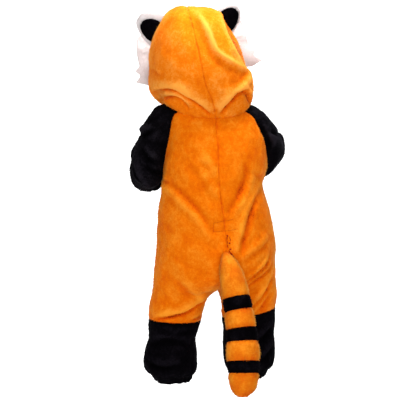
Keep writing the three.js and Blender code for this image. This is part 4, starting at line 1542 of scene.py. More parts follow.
# ---- Sleeves ----
@dataclass
class Sleeve:
    """A raglan sleeve from the neck to the gathered cuff."""

    side: Side
    crown: tuple[CrownPoint, ...]
    forearm: tuple[ArmSection, ...]
    belly: tuple[float, float, float]
    start: float = -75
    roundness: float = 0.84
    arm_turn: float = 6
    forearm_rings: int = 10
    forearm_rows: int = 66
    columns: int = 85
    gathers: int = 11
    gather_depth: float = 2.4
    gather_height: float = 30
    gather_middle: float = 10
    elastic_height: float = 12
    elastic_width: float = 4
    elastic_depth: float = 1.6
    hem_height: float = 14
    cut: Cut = Cut(0.3, 0.36, 0.074, "gathered")
    pile: Pile = Pile(9000)
    panel: Panel = field(init=False)

    def form(self, trunk: Trunk) -> Array:
        """The smooth form of the sleeve.

        Args:
            trunk: The trunk that it is sewn to.

        Returns:
            Its grid, from neck to cuff and from its back edge round to its front edge.
        """
        v = np.linspace(0, 1, self.columns)
        belly, rows = np.array(self.belly, float), []
        for i, crown in enumerate(self.crown):
            ring, share = trunk.rings[i], i / trunk.underarm
            if i == 0:
                rows.append(trunk.ring_point(ring, self.side, mix(ring.raglan, 180 - ring.raglan, v)))
                continue
            back = trunk.ring_point(ring, self.side, np.array(ring.raglan))
            front = trunk.ring_point(ring, self.side, np.array(180 - ring.raglan))
            rise = about_z(np.array([crown.x, crown.y, crown.z]), self.arm_turn) - (back + front) / 2
            way = about_z(unit(mix(np.array([0.0, -1.0, 0.0]), belly, share)), self.arm_turn)
            bump = mix(np.sin(np.pi * v), (1 - np.cos(2 * np.pi * v)) / 2, share)
            amount = crown.deep * np.sin(2 * np.pi * v)
            bellied = stack(way[0] * np.abs(amount), way[1] * amount, way[2] * amount)
            rows.append(mix(back, front, v[:, None]) + bump[:, None] * rise + bellied)
        last = len(self.forearm) - 1
        table = np.array(self.forearm, float)
        turns = math.radians(self.start) - 2 * np.pi * v
        for section in through(table, np.linspace(0, last, self.forearm_rings)):
            centre, travel, (wide, tall) = section[:3], unit(section[3:6]), section[6:]
            inward = unit(np.array([travel[1], -travel[0], 0.0])) * -self.side.value
            up = unit(np.array([0.0, 0.0, 1.0]) - travel * travel[2])
            across = inward * (wide * rounded(np.cos(turns), self.roundness))[:, None]
            upward = up * (tall * rounded(np.sin(turns), self.roundness))[:, None]
            rows.append(about_z(centre + across + upward, self.arm_turn))
        below = mix(trunk.underarm, len(rows) - 1, eased(self.forearm_rows, 1.15)[1:])
        return through(np.array(rows), np.concatenate([trunk.row_places[: trunk.crown_rows], below]))

    def cut_panel(self, trunk: Trunk) -> None:
        """Lays out the sleeve and sews it into the armhole and along the underarm.

        Args:
            trunk: The trunk, already cut.
        """
        form = self.form(trunk)
        v = np.linspace(0, 1, self.columns)
        from_cuff = walked(form, 0)[-1:] - walked(form, 0)
        gather = self.gather_depth * bell((from_cuff - self.gather_middle) / self.gather_height)
        wave = np.sin(2 * np.pi * self.gathers * v + 1.3 * np.sin(6 * np.pi * v + self.side.value))
        uneven = 0.75 + 0.35 * np.sin(4 * np.pi * v + 1)
        elastic = -self.elastic_depth * bell((from_cuff - self.elastic_height) / self.elastic_width)
        self.panel = Panel(
            f"sleeve_{self.side.word}",
            form,
            self.cut,
            sewn=(Edge.FIRST_COLUMN, Edge.LAST_COLUMN, Edge.FIRST_ROW),
            hemmed=(Edge.LAST_ROW,),
            level=(0,),
            extra=gather * wave * uneven + elastic,
        )
        armhole, arm = np.arange(trunk.crown_rows), np.arange(trunk.crown_rows, len(form))
        for face, edge in ((Face.BACK, Edge.FIRST_COLUMN), (Face.FRONT, Edge.LAST_COLUMN)):
            sew(self.panel, edge, trunk.panels[face, self.side], Edge.LAST_COLUMN, armhole)
        sew(self.panel, Edge.FIRST_COLUMN, self.panel, Edge.LAST_COLUMN, arm)

    def build(self, finishes: Wardrobe) -> None:
        """Makes the sleeve with its stitched cuff."""
        hem = Hem("hem", self.hem_height, finishes.black_thread)
        self.panel.build(finishes.sleeve_black, self.pile, 40 + self.side.value, hem)


# ---- Lower legs ----
@dataclass
class LowerLeg:
    """A dark lower leg, closed by its inseam, with an elastic hem that gathers it."""

    side: Side
    rings: tuple[ShinRing, ...]
    rows: int = 64
    columns: int = 140
    gathers: int = 13
    gather_depth: float = 3.2
    gather_height: float = 34
    elastic_height: float = 15
    elastic_width: float = 4.5
    elastic_depth: float = 2.6
    cut: Cut = Cut(0.41, 0.165, 0.062, "gathered")
    pile: Pile = Pile(9000)
    panel: Panel = field(init=False)

    def cut_panel(self, trunk: Trunk) -> None:
        """Lays out the tube, gathers its hem, and sews it to the thigh.

        Args:
            trunk: The trunk, already cut.
        """
        knee = trunk.thighs[self.side][-1]
        share = eased(self.rows, 1.25)
        hem = self.rings[-1].z
        z = mix(self.rings[0].z, hem, share)[:, None]
        angle = np.linspace(0, 2 * np.pi, self.columns + 1)[:-1]
        across, along = rounded(np.cos(angle)), rounded(np.sin(angle))
        read = {name: sample(self.rings, "z", z, name) for name in ("x", "half", "back", "front")}
        tilt = (knee.outer - knee.inner) / 2 * (1 - smooth(0, 0.5, share))[:, None]
        deep = np.where(along < 0, read["back"], read["front"])
        form = stack(read["x"] + self.side.value * read["half"] * across, deep * along, z + tilt * across)
        above = z - hem - self.elastic_height
        reach = bell(above / self.gather_height)
        stray = 2.2 * np.sin(2 * angle + self.side.value) + 0.9 * np.sin(5 * angle)
        wave = np.sin(self.gathers * angle + stray)
        uneven = 0.6 + 0.5 * np.sin(2 * angle + 1) * np.cos(5 * angle)
        elastic = -self.elastic_depth * bell(above / self.elastic_width)
        self.panel = Panel(
            f"lower_leg_{self.side.word}",
            form,
            self.cut,
            sewn=(Edge.FIRST_ROW,),
            hemmed=(Edge.LAST_ROW,),
            level=(0,),
            wraps=True,
            extra=self.gather_depth * reach * wave * uneven + elastic,
        )
        at = np.abs(1 - angle / np.pi)
        knees = {face: trunk.panels[face, self.side].outer[-1] for face in Face}
        back, front = (read_off(at, crowded(trunk.columns[face]), knees[face]) for face in Face)
        target = np.where((angle <= np.pi)[:, None], front, back)
        self.panel.ease(Edge.FIRST_ROW, target - self.panel.outer[0])

    def build(self, finishes: Wardrobe) -> None:
        """Makes the lower leg with its stitched hem."""
        hem = Hem("hem", self.elastic_height + 2, finishes.black_thread)
        self.panel.build(finishes.black, self.pile, 50 + self.side.value, hem)


# ---- Hood ----
@dataclass
class Hood:
    """Two halves of a hood, sewn along the crown and leaning with the head."""

    trunk: Trunk
    turns: tuple[HoodTurn, ...] = table_of(
        HoodTurn,
        (0, 130, 80, 86), (0.12, 162, 79, 93), (0.28, 206, 85, 100), (0.45, 242, 98, 103),
        (0.63, 267, 109, 102), (0.77, 269, 109, 97), (0.89, 250, 98, 88), (1, 219, 86, 80),
    )
    chin: tuple[float, float] = (62, -12)
    neck_line: float = 176
    face_line: float = 84
    roll: float = -12
    yaw: float = 3
    pivot: tuple[float, float, float] = (-12, -2, 10)
    lean_height: float = 80
    neck_blend: float = 0.38
    rows: int = 140
    columns: int = 150
    throat: float = 0.985
    crowd: float = 0.45
    hem_width: float = 12.0
    hem_height: float = 11.0
    cad_rows: int = 14
    body_stops: int = 5
    sleeve_stops: int = 6
    swells: tuple[Swell, ...] = table_of(Swell, (-88, 234, 34, 10), (2, 231, 32, 7.5), (-45, 252, 24, -4))
    pile: Pile = Pile(11000)
    cut: Cut = Cut(0.3, 0.34, 0.075, "draped")
    panels: dict = field(default_factory=dict)

    def lean(self, points: Array) -> Array:
        """Leans the upright hood with the head, more with height.

        Args:
            points: Points of the upright hood.

        Returns:
            The points moved.
        """
        share = smooth(0, self.lean_height, points[..., 2])
        pivot = np.array(self.pivot)
        moved = points - pivot * np.array([0.0, 1.0, 1.0])
        return about_y(about_z(moved, self.yaw * share), self.roll * share) + pivot

    def upright(self, side: Side, angle: Array, lift: Array) -> Array:
        """Finds points of the hood before it takes the neck's shape.

        Args:
            side: Left or right.
            angle: Degrees round the neck from the nape.
            lift: Shares of the way from the neck to the crown seam.

        Returns:
            A point for each pair.
        """
        a, b = (1 + np.cos(np.radians(angle))) / 2, np.sin(lift * np.pi / 2)
        along_neck, along_face = a * np.sqrt(1 - b * b / 2), b * np.sqrt(1 - a * a / 2)
        radius = np.minimum(1, np.hypot(along_neck, along_face))
        turn = np.arctan2(along_face, along_neck) / (np.pi / 2)
        reach = radius * sample(self.turns, "turn", turn, "reach")
        half = sample(self.turns, "turn", turn, side.word) * 2 * np.sqrt(radius * (1 - radius))
        line = np.radians(mix(self.neck_line, self.face_line, turn))
        y, z = self.chin[0] + reach * np.cos(line), self.chin[1] + reach * np.sin(line)
        return self.lean(stack(side.value * half, y, z))

    def point(self, side: Side, angle: Array, lift: Array) -> Array:
        """Finds points of the hood, which takes the neck's shape near the neck.

        Args:
            side: Left or right.
            angle: Degrees round the neck from the nape.
            lift: Shares of the way from the neck to the crown seam.

        Returns:
            A point for each pair.
        """
        neck = self.trunk.ring_point(self.trunk.rings[0], side, angle)
        to_neck = neck - self.upright(side, angle, np.zeros_like(lift))
        share = 1 - smooth(0, self.neck_blend, lift)
        return self.upright(side, angle, lift) + to_neck * share[..., None]

    def form(self, side: Side) -> Array:
        """The smooth form of one half.

        Args:
            side: Left or right.

        Returns:
            Its grid, from neck seam to face edge and from the crown seam to the throat.
        """

        def squared(p: Array, q: Array) -> Array:
            """One coordinate of a disc's point when the disc is spread to a square."""
            high, low = (2 + p * p - q * q + sign * 2 * math.sqrt(2) * p for sign in (1, -1))
            return (np.sqrt(np.maximum(high, 0)) - np.sqrt(np.maximum(low, 0))) / 2

        turn = crowded(self.rows, self.crowd)[:, None] * np.pi / 2
        radius = (1 + np.cos(np.pi * self.throat * crowded(self.columns, self.crowd)))[None] / 2
        u, v = radius * np.cos(turn), radius * np.sin(turn)
        angle = np.degrees(np.arccos(np.clip(2 * squared(u, v) - 1, -1, 1)))
        lift = np.arcsin(np.clip(squared(v, u), 0, 1)) / (np.pi / 2)
        return self.point(side, angle, lift)

    def swell(self, form: Array) -> Array:
        """Works out how far the cloth stands off the form where it is pushed out.

        Args:
            form: A half's grid.

        Returns:
            The height at each point.
        """
        height = neck_fill(form, walked(form, 0))
        for swell in self.swells:
            away = np.hypot(form[..., 0] - swell.x, form[..., 2] - swell.z) / swell.reach
            height += swell.rise * bell(away)
        return height

    def stops(self) -> Array:
        """Lists the angles of the coarse columns by which ears and ruffs are placed.

        Returns:
            Degrees from the nape to the throat.
        """
        raglan = self.trunk.rings[0].raglan
        back = np.arange(self.body_stops) / self.body_stops * raglan
        sleeve = mix(raglan, 180 - raglan, np.arange(self.sleeve_stops) / self.sleeve_stops)
        return np.concatenate([back, sleeve, [180 - raglan], 180 - back[::-1]])

    def spot(self, side: Side, row: Array | float, column: Array | float) -> tuple[Array, Array]:
        """Finds places on a half by its coarse rows and columns.

        Args:
            side: Left or right.
            row: Rows from the neck up.
            column: Columns from the nape round.

        Returns:
            Points and outward normals.
        """
        angle = np.interp(column, np.arange(len(self.stops())), self.stops())
        angle, lift = np.broadcast_arrays(angle, np.asarray(row, float) / self.cad_rows)
        here = self.point(side, angle, lift)
        round_it = self.point(side, angle + 1, lift) - here
        upward = self.point(side, angle, lift + 0.01) - here
        return here, unit(np.cross(round_it, upward) * side.value)

    def cut_panels(self, sleeves: dict) -> None:
        """Lays out the halves and sews them to the neck and to each other.

        Args:
            sleeves: The sleeve of each side, already cut.
        """
        for side in Side:
            form = self.form(side)
            panel = Panel(
                f"hood_{side.word}",
                form,
                self.cut,
                sewn=(Edge.FIRST_COLUMN, Edge.FIRST_ROW),
                hemmed=(Edge.LAST_ROW,),
                level=(0,),
                hem_width=self.hem_width,
                extra=self.swell(form),
            )
            self.panels[side] = panel
            at = 180 * self.throat * crowded(self.columns, self.crowd)
            target = read_off(at, *self.trunk.neck_curve(side, sleeves[side].panel))
            panel.ease(Edge.FIRST_ROW, target - panel.outer[0])
        first = Edge.FIRST_COLUMN
        sew(self.panels[Side.LEFT], first, self.panels[Side.RIGHT], first)

    def build(self, finishes: Wardrobe) -> None:
        """Makes the halves with their stitched face edge.

        Args:
            finishes: The garment's finishes.
        """
        hem = Hem("edge", self.hem_height, finishes.orange_thread)
        for side, panel in self.panels.items():
            panel.build(finishes.hood_orange, self.pile, 60 + side.value, hem)


# ---- Ears and cheek ruffs ----
@dataclass
class Layer:
    """A flat padded layer of plush, thin at its edges, with pile on both its faces."""

    node: str
    middle: Array
    thick: float
    cloth: Cloth
    cut: Cut
    tufts: int
    seed: int
    rim: float = 0.18
    softness: float = 0.25

    def build(self) -> None:
        """Makes the layer about its middle grid, then its pile."""
        normals = grid_normals(self.middle, False)
        i, j = (np.linspace(-1, 1, count) for count in self.middle.shape[:2])
        crown = np.sqrt(1 - np.abs(i[:, None]) ** 10) * np.sqrt(1 - np.abs(j[None]) ** 8)
        half = self.thick / 2 * mix(self.rim, 1, crown) + self.softness * crown * ripple(self.middle, 18, 8)
        outer, inner = self.middle + normals * half[..., None], self.middle - normals * half[..., None]
        plush = self.cloth.plush
        # Painted shade towards the thin rim, paler over the padded middle.
        piece = make_wall(self.node + "_plush", outer, inner, False, [plush], 0.8 * crown - 0.5)
        put_on(piece, self.cloth.slot, self.node)
        pile, lift = Pile(self.tufts, length=3.4, width=1.2, lean=0.55), np.zeros(crown.shape)
        faces = [
            pile.grow(f"{self.node}_pile_{k}", grid, ways, lift, plush, self.seed + 100 * k)
            for k, (grid, ways) in enumerate(((outer, normals), (inner, -normals)))
        ]
        self.cut.declare(piece, faces)


class EarFront(NamedTuple):
    """An ear's white layer: width and height against the black one's, rows higher, and cut."""

    scale: tuple[float, float]
    higher: float
    cut: Cut


@dataclass
class Trims:
    """The ears and cheek ruffs, which stand on the hood."""

    hood: Hood
    ear_height: float = 37.0
    ear_plush: float = 3.5
    ear_fronts: dict = field(
        default_factory=lambda: {
            Side.LEFT: EarFront((1.58, 1.36), 0.2, Cut(0.087, 0.05, 0.0035, "stretched")),
            Side.RIGHT: EarFront((1.24, 1.2), 0.0, Cut(0.068, 0.044, 0.0024, "stretched")),
        }
    )
    ear_back_ahead: float = 0.5
    ear_front_ahead: float = 1.7
    ear_tufts: int = 900
    ear_cup: float = 7
    ear_clear: float = 1.4
    ear_grid: tuple[int, int] = (26, 40)
    ear_bases: dict = field(
        default_factory=lambda: {Side.LEFT: (8.65, 9.0, -1.15, 0.6), Side.RIGHT: (7.95, 9.0, -1.15, 0.6)}
    )
    ruff: tuple[RuffPoint, ...] = table_of(
        RuffPoint,
        (-0.14, 20, 24), (-0.06, 38, 48), (0.02, 56, 70), (0.1, 70, 83), (0.18, 79, 84), (0.25, 77, 78),
        (0.4, 66, 65), (0.52, 59, 57), (0.62, 52, 52), (0.7, 47, 49), (0.76, 58, 47), (0.8, 49, 46),
        (0.83, 45, 56), (0.87, 49, 50), (0.9, 58, 53), (0.95, 41, 68), (1, 18, 42),
    )
    ruff_rows: tuple[float, float] = (12.5, 4.5)
    ruff_column: float = 15.2
    ruff_backward: float = 0.12
    ruff_spread: float = 0.35
    ruff_clear: float = 1.0
    ruff_sway: float = 1.6
    ruff_tufts: int = 3600
    ruff_plush: float = 4.0
    ruff_grid: tuple[int, int] = (110, 22)
    ear_back_cut: Cut = Cut(0.055, 0.037, 0.0016, "stretched")
    ruff_cut: Cut = Cut(0.085, 0.14, 0.0085, "hung")

    def ear(self, side: Side, scale: tuple[float, float], ahead: float, higher: float) -> Array:
        """The middle surface of one layer of an ear.

        Args:
            side: Which ear.
            scale: Its width and height against the back layer's.
            ahead: How far in front of its foot's line it stands, in layers.
            higher: How many rows further up the hood it stands.

        Returns:
            Its grid, from foot to top and from side to side.
        """
        row, column, row_step, column_step = self.ear_bases[side]
        row += higher
        middle, normal = self.hood.spot(side, row, column)
        ends = [self.hood.spot(side, row + row_step * k, column + column_step * k)[0] for k in (-0.5, 0.5)]
        forward = unit(np.cross(normal, ends[1] - ends[0]))
        forward = forward * np.sign(forward[1])
        up = np.linspace(0, 1, self.ear_grid[0]) ** 0.9
        height = (self.ear_height - 1) * scale[1] * up
        half = (1 - (up * (self.ear_height - 1) / (self.ear_height + 0.5)) ** 2.6) ** 0.62
        share = np.linspace(-1, 1, self.ear_grid[1])[None] * scale[0] * half[:, None]
        foot, foot_normal = self.hood.spot(side, row + row_step * share, column + column_step * share)
        cup = self.ear_cup * share**2 * (height / (self.ear_height - 1))[:, None]
        point = foot + foot_normal * self.ear_clear + normal * height[:, None, None]
        return point + forward * (ahead * self.ear_plush + cup)[..., None]

    def ruff_middle(self, side: Side) -> Array:
        """The middle surface of a cheek ruff.

        Args:
            side: Which ruff.

        Returns:
            Its grid, from its root to its pointed edge.
        """
        shares = np.linspace(self.ruff[0].at, 1, self.ruff_grid[0])
        out = np.interp(shares, [p.at for p in self.ruff], [getattr(p, side.word) for p in self.ruff])
        root, normal = self.hood.spot(side, mix(*self.ruff_rows, shares), self.ruff_column)
        way = about_y(np.array([side.value, -self.ruff_backward, 0.0]), self.hood.roll)
        way = unit(way + self.ruff_spread * normal)
        root = root + normal * (ON_TOP + self.ruff_plush / 2 + self.ruff_clear)
        reach = np.linspace(0, 1, self.ruff_grid[1])
        grid = root[:, None] + way[:, None] * (out[:, None] * reach)[..., None]
        sway = self.ruff_sway * np.sin(reach * np.pi / 2)[None] * ripple(root, 46, 9)[:, None]
        return grid + np.array([0.0, 1.0, 0.0]) * sway[..., None]

    def build(self, finishes: Wardrobe) -> None:
        """Makes the ears and the cheek ruffs.

        Args:
            finishes: The garment's finishes.
        """
        for number, side in enumerate(Side):
            hood, front = (f"hood_{side.word}",), self.ear_fronts[side]
            back_middle = self.ear(side, (1.0, 1.0), self.ear_back_ahead, 0.0)
            front_middle = self.ear(side, front.scale, self.ear_front_ahead, front.higher)
            layers = (
                ("ear_back", back_middle, finishes.black, self.ear_back_cut),
                ("ear_front", front_middle, finishes.white, front.cut),
            )
            for name, middle, cloth, cut in layers:
                node, cut = f"{name}_{side.word}", replace(cut, rests_on=hood)
                Layer(node, middle, self.ear_plush, cloth, cut, self.ear_tufts, 70 + number).build()
            node, cut = f"cheek_ruff_{side.word}", replace(self.ruff_cut, rests_on=hood)
            ruff = self.ruff_middle(side)
            Layer(node, ruff, self.ruff_plush, finishes.white, cut, self.ruff_tufts, 80 + number).build()


# ---- Tail ----
@dataclass
class Tail:
    """The stuffed tail, sewn of seven bands."""

    stations: tuple[TailStation, ...] = table_of(
        TailStation,
        (24, -127, -291, 6), (30, -140, -313, 19), (38, -152, -342, 26), (45, -163, -377, 29),
        (53, -174, -418, 31), (58, -184, -455, 33), (60, -193, -490, 35), (61, -201, -523, 35),
        (61, -207, -552, 31), (60, -210, -573, 24), (60, -212, -587, 10),
    )
    bands: tuple[TailBand, ...] = table_of(
        TailBand,
        ("tail_base", -381, False),
        ("tail_ring_1", -408, True),
        ("tail_band_1", -445, False),
        ("tail_ring_2", -472, True),
        ("tail_band_2", -512, False),
        ("tail_ring_3", -537, True),
        ("tail_tip", -999, False),
    )
    sides: int = 72
    ring_step: float = 2.2
    pinch: float = 2.2
    pinch_reach: float = 6.0
    pucker: float = 0.5
    pucker_reach: float = 7.0
    pucker_count: int = 19
    swell: float = 0.6
    swell_size: float = 34.0
    tufts_per_mm: float = 26.0
    fill: float = 0.75
    cap_shares: tuple[float, ...] = (0.35, 0.7, 0.97)
    # painted shade on the flat caps where one band is sewn to the next
    cap_lift: float = -0.8

    def line(self) -> Array:
        """The centre line with its radii, in small steps."""
        table = np.array(self.stations, float)
        return through(table, np.linspace(0, len(table) - 1, 600))

    def band(self, line: Array, start: float, end: float) -> tuple[Array, Array, Array]:
        """The outside of one band.

        Args:
            line: The centre line with its radii.
            start: Where the band starts, along the line.
            end: Where it ends.

        Returns:
            Its grid, its normals and the value that its finish reads.
        """
        far = walked(line[None, :, :3], 1)[0]
        at = mix(start, end, crowded(max(8, round((end - start) / self.ring_step)), 0.6))
        centre, radius = read_off(at, far, line), np.interp(at, far, line[:, 3])
        travel = unit(read_off(at, far, unit(np.gradient(line[:, :3], axis=0))))
        sideways = unit(np.array([1.0, 0.0, 0.0]) - travel * travel[:, :1])
        outward = np.cross(travel, sideways)
        turns = np.arange(self.sides) * 2 * np.pi / self.sides
        ways = np.cos(turns)[:, None] * sideways[:, None] + np.sin(turns)[:, None] * outward[:, None]
        form = centre[:, None] + ways * radius[:, None, None]
        edge = np.minimum(at - start, end - at)
        seam = -self.pinch * bell(edge / self.pinch_reach) * np.clip(radius / 20, 0, 1)
        waves = np.sin(self.pucker_count * turns + 2 * np.sin(3 * turns))
        pucker = self.pucker * np.exp(-edge / self.pucker_reach)[:, None] * waves[None]
        swells = ripple(form, self.swell_size, 11)
        height = seam[:, None] + pucker + self.swell * swells
        grid = form + ways * height[..., None]
        # Painted shade in the pinched seams between bands, and painted highlight on the swells.
        lift = np.clip(0.4 * seam[:, None] / self.pinch + 0.25 * swells, -1, 1)
        return grid, ways, lift

    def build(self, finishes: Wardrobe) -> None:
        """Makes the bands, closed at their ends, with their pile.

        Args:
            finishes: The garment's finishes.
        """
        line = self.line()
        far = walked(line[None, :, :3], 1)[0]
        start = 0.0
        for number, band in enumerate(self.bands):
            end = float(far[min(int((line[:, 2] >= band.end).sum()), len(far) - 1)])
            grid, ways, lift = self.band(line, start, end)
            cloth = finishes.black if band.dark else finishes.tail_orange
            piece = self.close(band.node, grid, lift, cloth.plush)
            put_on(piece, cloth.slot, band.node)
            pile = Pile(int(self.tufts_per_mm * (end - start)), length=3.6, width=1.4, lean=0.5)
            sewn = (np.concatenate([values, values[:, :1]], axis=1) for values in (grid, ways, lift))
            pile.grow(band.node + "_pile", *sewn, cloth.plush, 90 + number)
            start = end

    def close(self, node: str, grid: Array, lift: Array, finish: Material) -> Piece:
        """Closes a band with a flat cap on each end.

        Args:
            node: The solid that it stands for.
            grid: Its outside.
            lift: The value that its finish reads.
            finish: Its material.

        Returns:
            The object.
        """
        rims = (grid[0], grid[-1])
        first, last = ([mix(rim, rim.mean(axis=0), share)[None] for share in self.cap_shares] for rim in rims)
        # The caps are painted dark as the shade inside the joints between bands.
        dark = [np.full((1, self.sides), self.cap_lift)] * len(self.cap_shares)
        rings = np.concatenate([*first[::-1], grid, *last])
        points = rings.reshape(-1, 3)
        faces = facing_out(points, grid_faces(len(rings), self.sides, True))
        lift = np.concatenate([*dark, lift, *dark])
        return make_object(node + "_stuffed", points, faces, [finish], lift=lift)


# ---- Front placket and buttons ----
@dataclass
class Closure:
    """The placket down the centre front with its six buttons."""

    trunk: Trunk
    half: float = 13.0
    last_ring: int = 14
    top: float = 0.1
    columns: int = 26
    stitch_inset: int = 3
    button_radius: float = 8.0
    button_sides: int = 64
    button_profile: tuple[tuple[float, float], ...] = (
        *((0.02, 0), (0.5, 0), (0.88, 0), (0.97, 0.25), (1, 0.6), (1, 1.0), (0.98, 1.9), (0.94, 2.6)),
        *((0.88, 3.1), (0.84, 3.3), (0.78, 3.2), (0.72, 2.8), (0.66, 2.5)),
        *((0.02 + 0.58 * step / 14, 2.5) for step in range(14, -1, -1)),
    )  # share of the radius, and height
    button_rings: tuple[int, ...] = (1, 4, 7, 9, 11, 13)
    hole_offset: float = 2.0
    hole_radius: float = 0.95
    hole_depth: float = 1.7
    solid_height: float = 1.5
    thread_height: float = 2.7
    cut: Cut = Cut(0.026, 0.31, 0.008, "stretched", ("front_left", "front_right"))

    def strip(self) -> tuple[Array, Array]:
        """Lays the placket's line on the fronts.

        Returns:
            A grid of points, and outward normals.
        """
        left, right = (self.trunk.panels[Face.FRONT, side] for side in Side)
        sewn = np.flatnonzero(self.trunk.row_places <= self.last_ring)
        shares = np.linspace(-1, 1, self.columns)
        lines = []
        for i in sewn:
            line = np.concatenate([left.outer[i, ::-1], right.outer[i, 1:]])
            far = walked(line[None], 1)[0]
            lines.append(read_off(far[len(left.outer[i]) - 1] + shares * self.half, far, line))
        grid = np.array(lines)
        flat = mix(grid[:, :1], grid[:, -1:], (shares[None, :, None] + 1) / 2)
        normal = unit(left.normals[sewn, 0] + right.normals[sewn, 0])
        bulge = ((grid - flat) * normal[:, None]).sum(axis=2).max(axis=1)
        grid = flat + normal[:, None] * (bulge[:, None] * (1 - shares**2))[..., None]
        grid[0] = mix(grid[0], grid[1], self.top)
        return grid, np.repeat(normal[:, None], self.columns, axis=1)

    def build(self, finishes: Wardrobe) -> None:
        """Makes the placket, its stitching, and the buttons.

        Args:
            finishes: The garment's finishes.
        """
        grid, normals = self.strip()
        crown = (1 - np.abs(np.linspace(-1, 1, self.columns)[None]) ** 12) ** 0.5
        lower = grid + normals * ON_TOP
        upper = lower + normals * (CLOTH * mix(0.3, 1, crown) + 0.25 * ripple(grid, 20, 12))[..., None]
        # Painted shade along the placket's thin edges, paler on its raised middle.
        lift = np.broadcast_to(0.6 * crown - 0.4, grid.shape[:2])
        cloth = finishes.orange
        piece = make_wall("front_placket_plush", upper, lower, False, [cloth.plush, cloth.back], lift)
        put_on(piece, cloth.slot, "front_placket")
        stitching, parts = Stitching(), []
        for column in (self.stitch_inset, self.columns - 1 - self.stitch_inset):
            parts += stitching.run(upper[:, column] + normals[:, column] * 0.2, normals[:, column])
        self.cut.declare(piece, [join_pieces("front_placket_thread", parts, finishes.orange_thread)])
        self.sew_buttons(upper, normals, finishes)

    def sew_buttons(self, upper: Array, normals: Array, finishes: Wardrobe) -> None:
        """Sets the buttons on the placket, each held by its thread.

        Args:
            upper: The placket's outside.
            normals: Its outward normals.
            finishes: The garment's finishes.
        """
        at = self.trunk.row_places
        for number, ring in enumerate(self.button_rings, 1):
            row = int(np.abs(at - ring).argmin())
            normal = normals[row, 0]
            side = unit(np.cross(normal, np.array([0.0, 0.0, 1.0])))
            axes = np.array([side, np.cross(side, normal), normal])
            self.button(number, upper[row, self.columns // 2] + normal * ON_TOP, axes, finishes)

    def button(self, number: int, centre: Array, axes: Array, finishes: Wardrobe) -> None:
        """Makes one button with four sunk holes, and the thread across them.

        Args:
            number: The button's number from the throat down.
            centre: The middle of its underside.
            axes: Its sideways, upward and outward directions.
            finishes: The garment's finishes.
        """
        turns = np.arange(self.button_sides) * 2 * np.pi / self.button_sides
        radius, height = np.array(self.button_profile).T[..., None]
        x, y = (radius * self.button_radius * way for way in (np.cos(turns), np.sin(turns)))
        height = np.broadcast_to(height, x.shape)
        for across, along in ((-1, -1), (-1, 1), (1, -1), (1, 1)):
            away = np.hypot(x - across * self.hole_offset, y - along * self.hole_offset) / self.hole_radius
            height = height - np.where(height > self.solid_height, self.hole_depth * np.exp(-(away**4)), 0)
        points = (centre + stack(x, y, height) @ axes).reshape(-1, 3)
        faces = facing_out(points, grid_faces(len(radius), self.button_sides, True))
        piece = make_object(f"button_{number}_turned", points, faces, [finishes.resin])
        put_on(piece, "button_resin", f"button_{number}")
        stitching, parts = Stitching(radius=0.5), []
        for across in (-self.hole_offset, self.hole_offset):
            for shift in (-0.35, 0.35):
                ends = [(across + shift, end * self.hole_offset, self.thread_height) for end in (-1, 1)]
                parts.append(stitching.stitch(*(centre + np.array(ends) @ axes), axes[2]))
        join_pieces(f"button_{number}_thread", parts, finishes.black_thread)


# ---- Stitching of the back ----
@dataclass
class BackStitching:
    """The elastic channel at the waist, and the hand-sewn slit where the tail goes in."""

    trunk: Trunk
    channel: Stitching = Stitching(pitch=3.2, radius=0.45)
    slit: tuple[HandStitch, ...] = table_of(
        HandStitch,
        ((27.0, -253.2), (28.4, -256.8), 1.6),
        ((27.3, -256.2), (27.5, -264.0), 0.8),
        ((27.5, -265.0), (28.1, -273.0), 0.8),
        ((28.2, -274.0), (29.4, -281.0), 0.8),
        ((32.6, -257.3), (35.6, -266.8), 0.7),
        ((30.6, -270.4), (34.2, -271.8), 2.0),
        ((32.4, -284.6), (36.6, -283.4), 1.7),
        ((31.0, -286.0), (34.6, -292.0), 1.1),
        ((34.8, -291.6), (38.6, -297.0), 1.5),
        ((38.4, -297.0), (42.0, -301.6), 1.2),
    )

    def on_back(self, places: Array) -> tuple[Array, Array]:
        """Points and normals on the backs at places given by x and z.

        Args:
            places: Pairs of x and z.

        Returns:
            The nearest points of the backs' outsides and their normals.
        """
        panels = [self.trunk.panels[Face.BACK, side] for side in Side]
        cloth = np.concatenate([panel.outer.reshape(-1, 3) for panel in panels])
        ways = np.concatenate([panel.normals.reshape(-1, 3) for panel in panels])
        behind = cloth[:, 1] < 0
        cloth, ways = cloth[behind], ways[behind]
        points, normals = [], []
        for x, z in places:
            gap = (cloth[:, 0] - x) ** 2 + (cloth[:, 2] - z) ** 2
            near = np.argsort(gap)[:4]
            weight = 1 / (gap[near] + 0.5)
            weight /= weight.sum()
            points.append((x, weight @ cloth[near, 1], z))
            normals.append(unit(weight @ ways[near]))
        return np.array(points), np.array(normals)

    def build(self, finishes: Wardrobe) -> None:
        """Makes the channel's stitches and the slit's.

        Args:
            finishes: The garment's finishes.
        """
        parts = []
        for line in CHANNEL:
            places = np.array(line, float)
            points, normals = self.on_back(through(places, np.linspace(0, len(places) - 1, 24)))
            parts += self.channel.run(points + normals * 0.3, normals)
        join_pieces("waist_channel_thread", parts, finishes.orange_thread)
        parts = []
        for hand in self.slit:
            ends, normals = self.on_back(np.array([hand.start, hand.end]))
            parts.append(Stitching(radius=hand.radius).stitch(*(ends + normals * hand.radius), normals[0]))
        join_pieces("tail_slit_thread", parts, finishes.brown_thread)


# ---- Studio ----
@dataclass(frozen=True)
class Lamp:
    """A soft square lamp: its place, side and target in metres, and its power in watts."""

    name: str
    place: tuple[float, float, float]
    size: float
    power: float
    target: tuple[float, float, float] = (0, 0, 0)

    def hang(self) -> None:
        """Hangs the lamp and turns it to its target."""
        data = bpy.data.lights.new(self.name, "AREA")
        data.size, data.energy = self.size, self.power
        set_up(self.name, data, self.place, self.target)


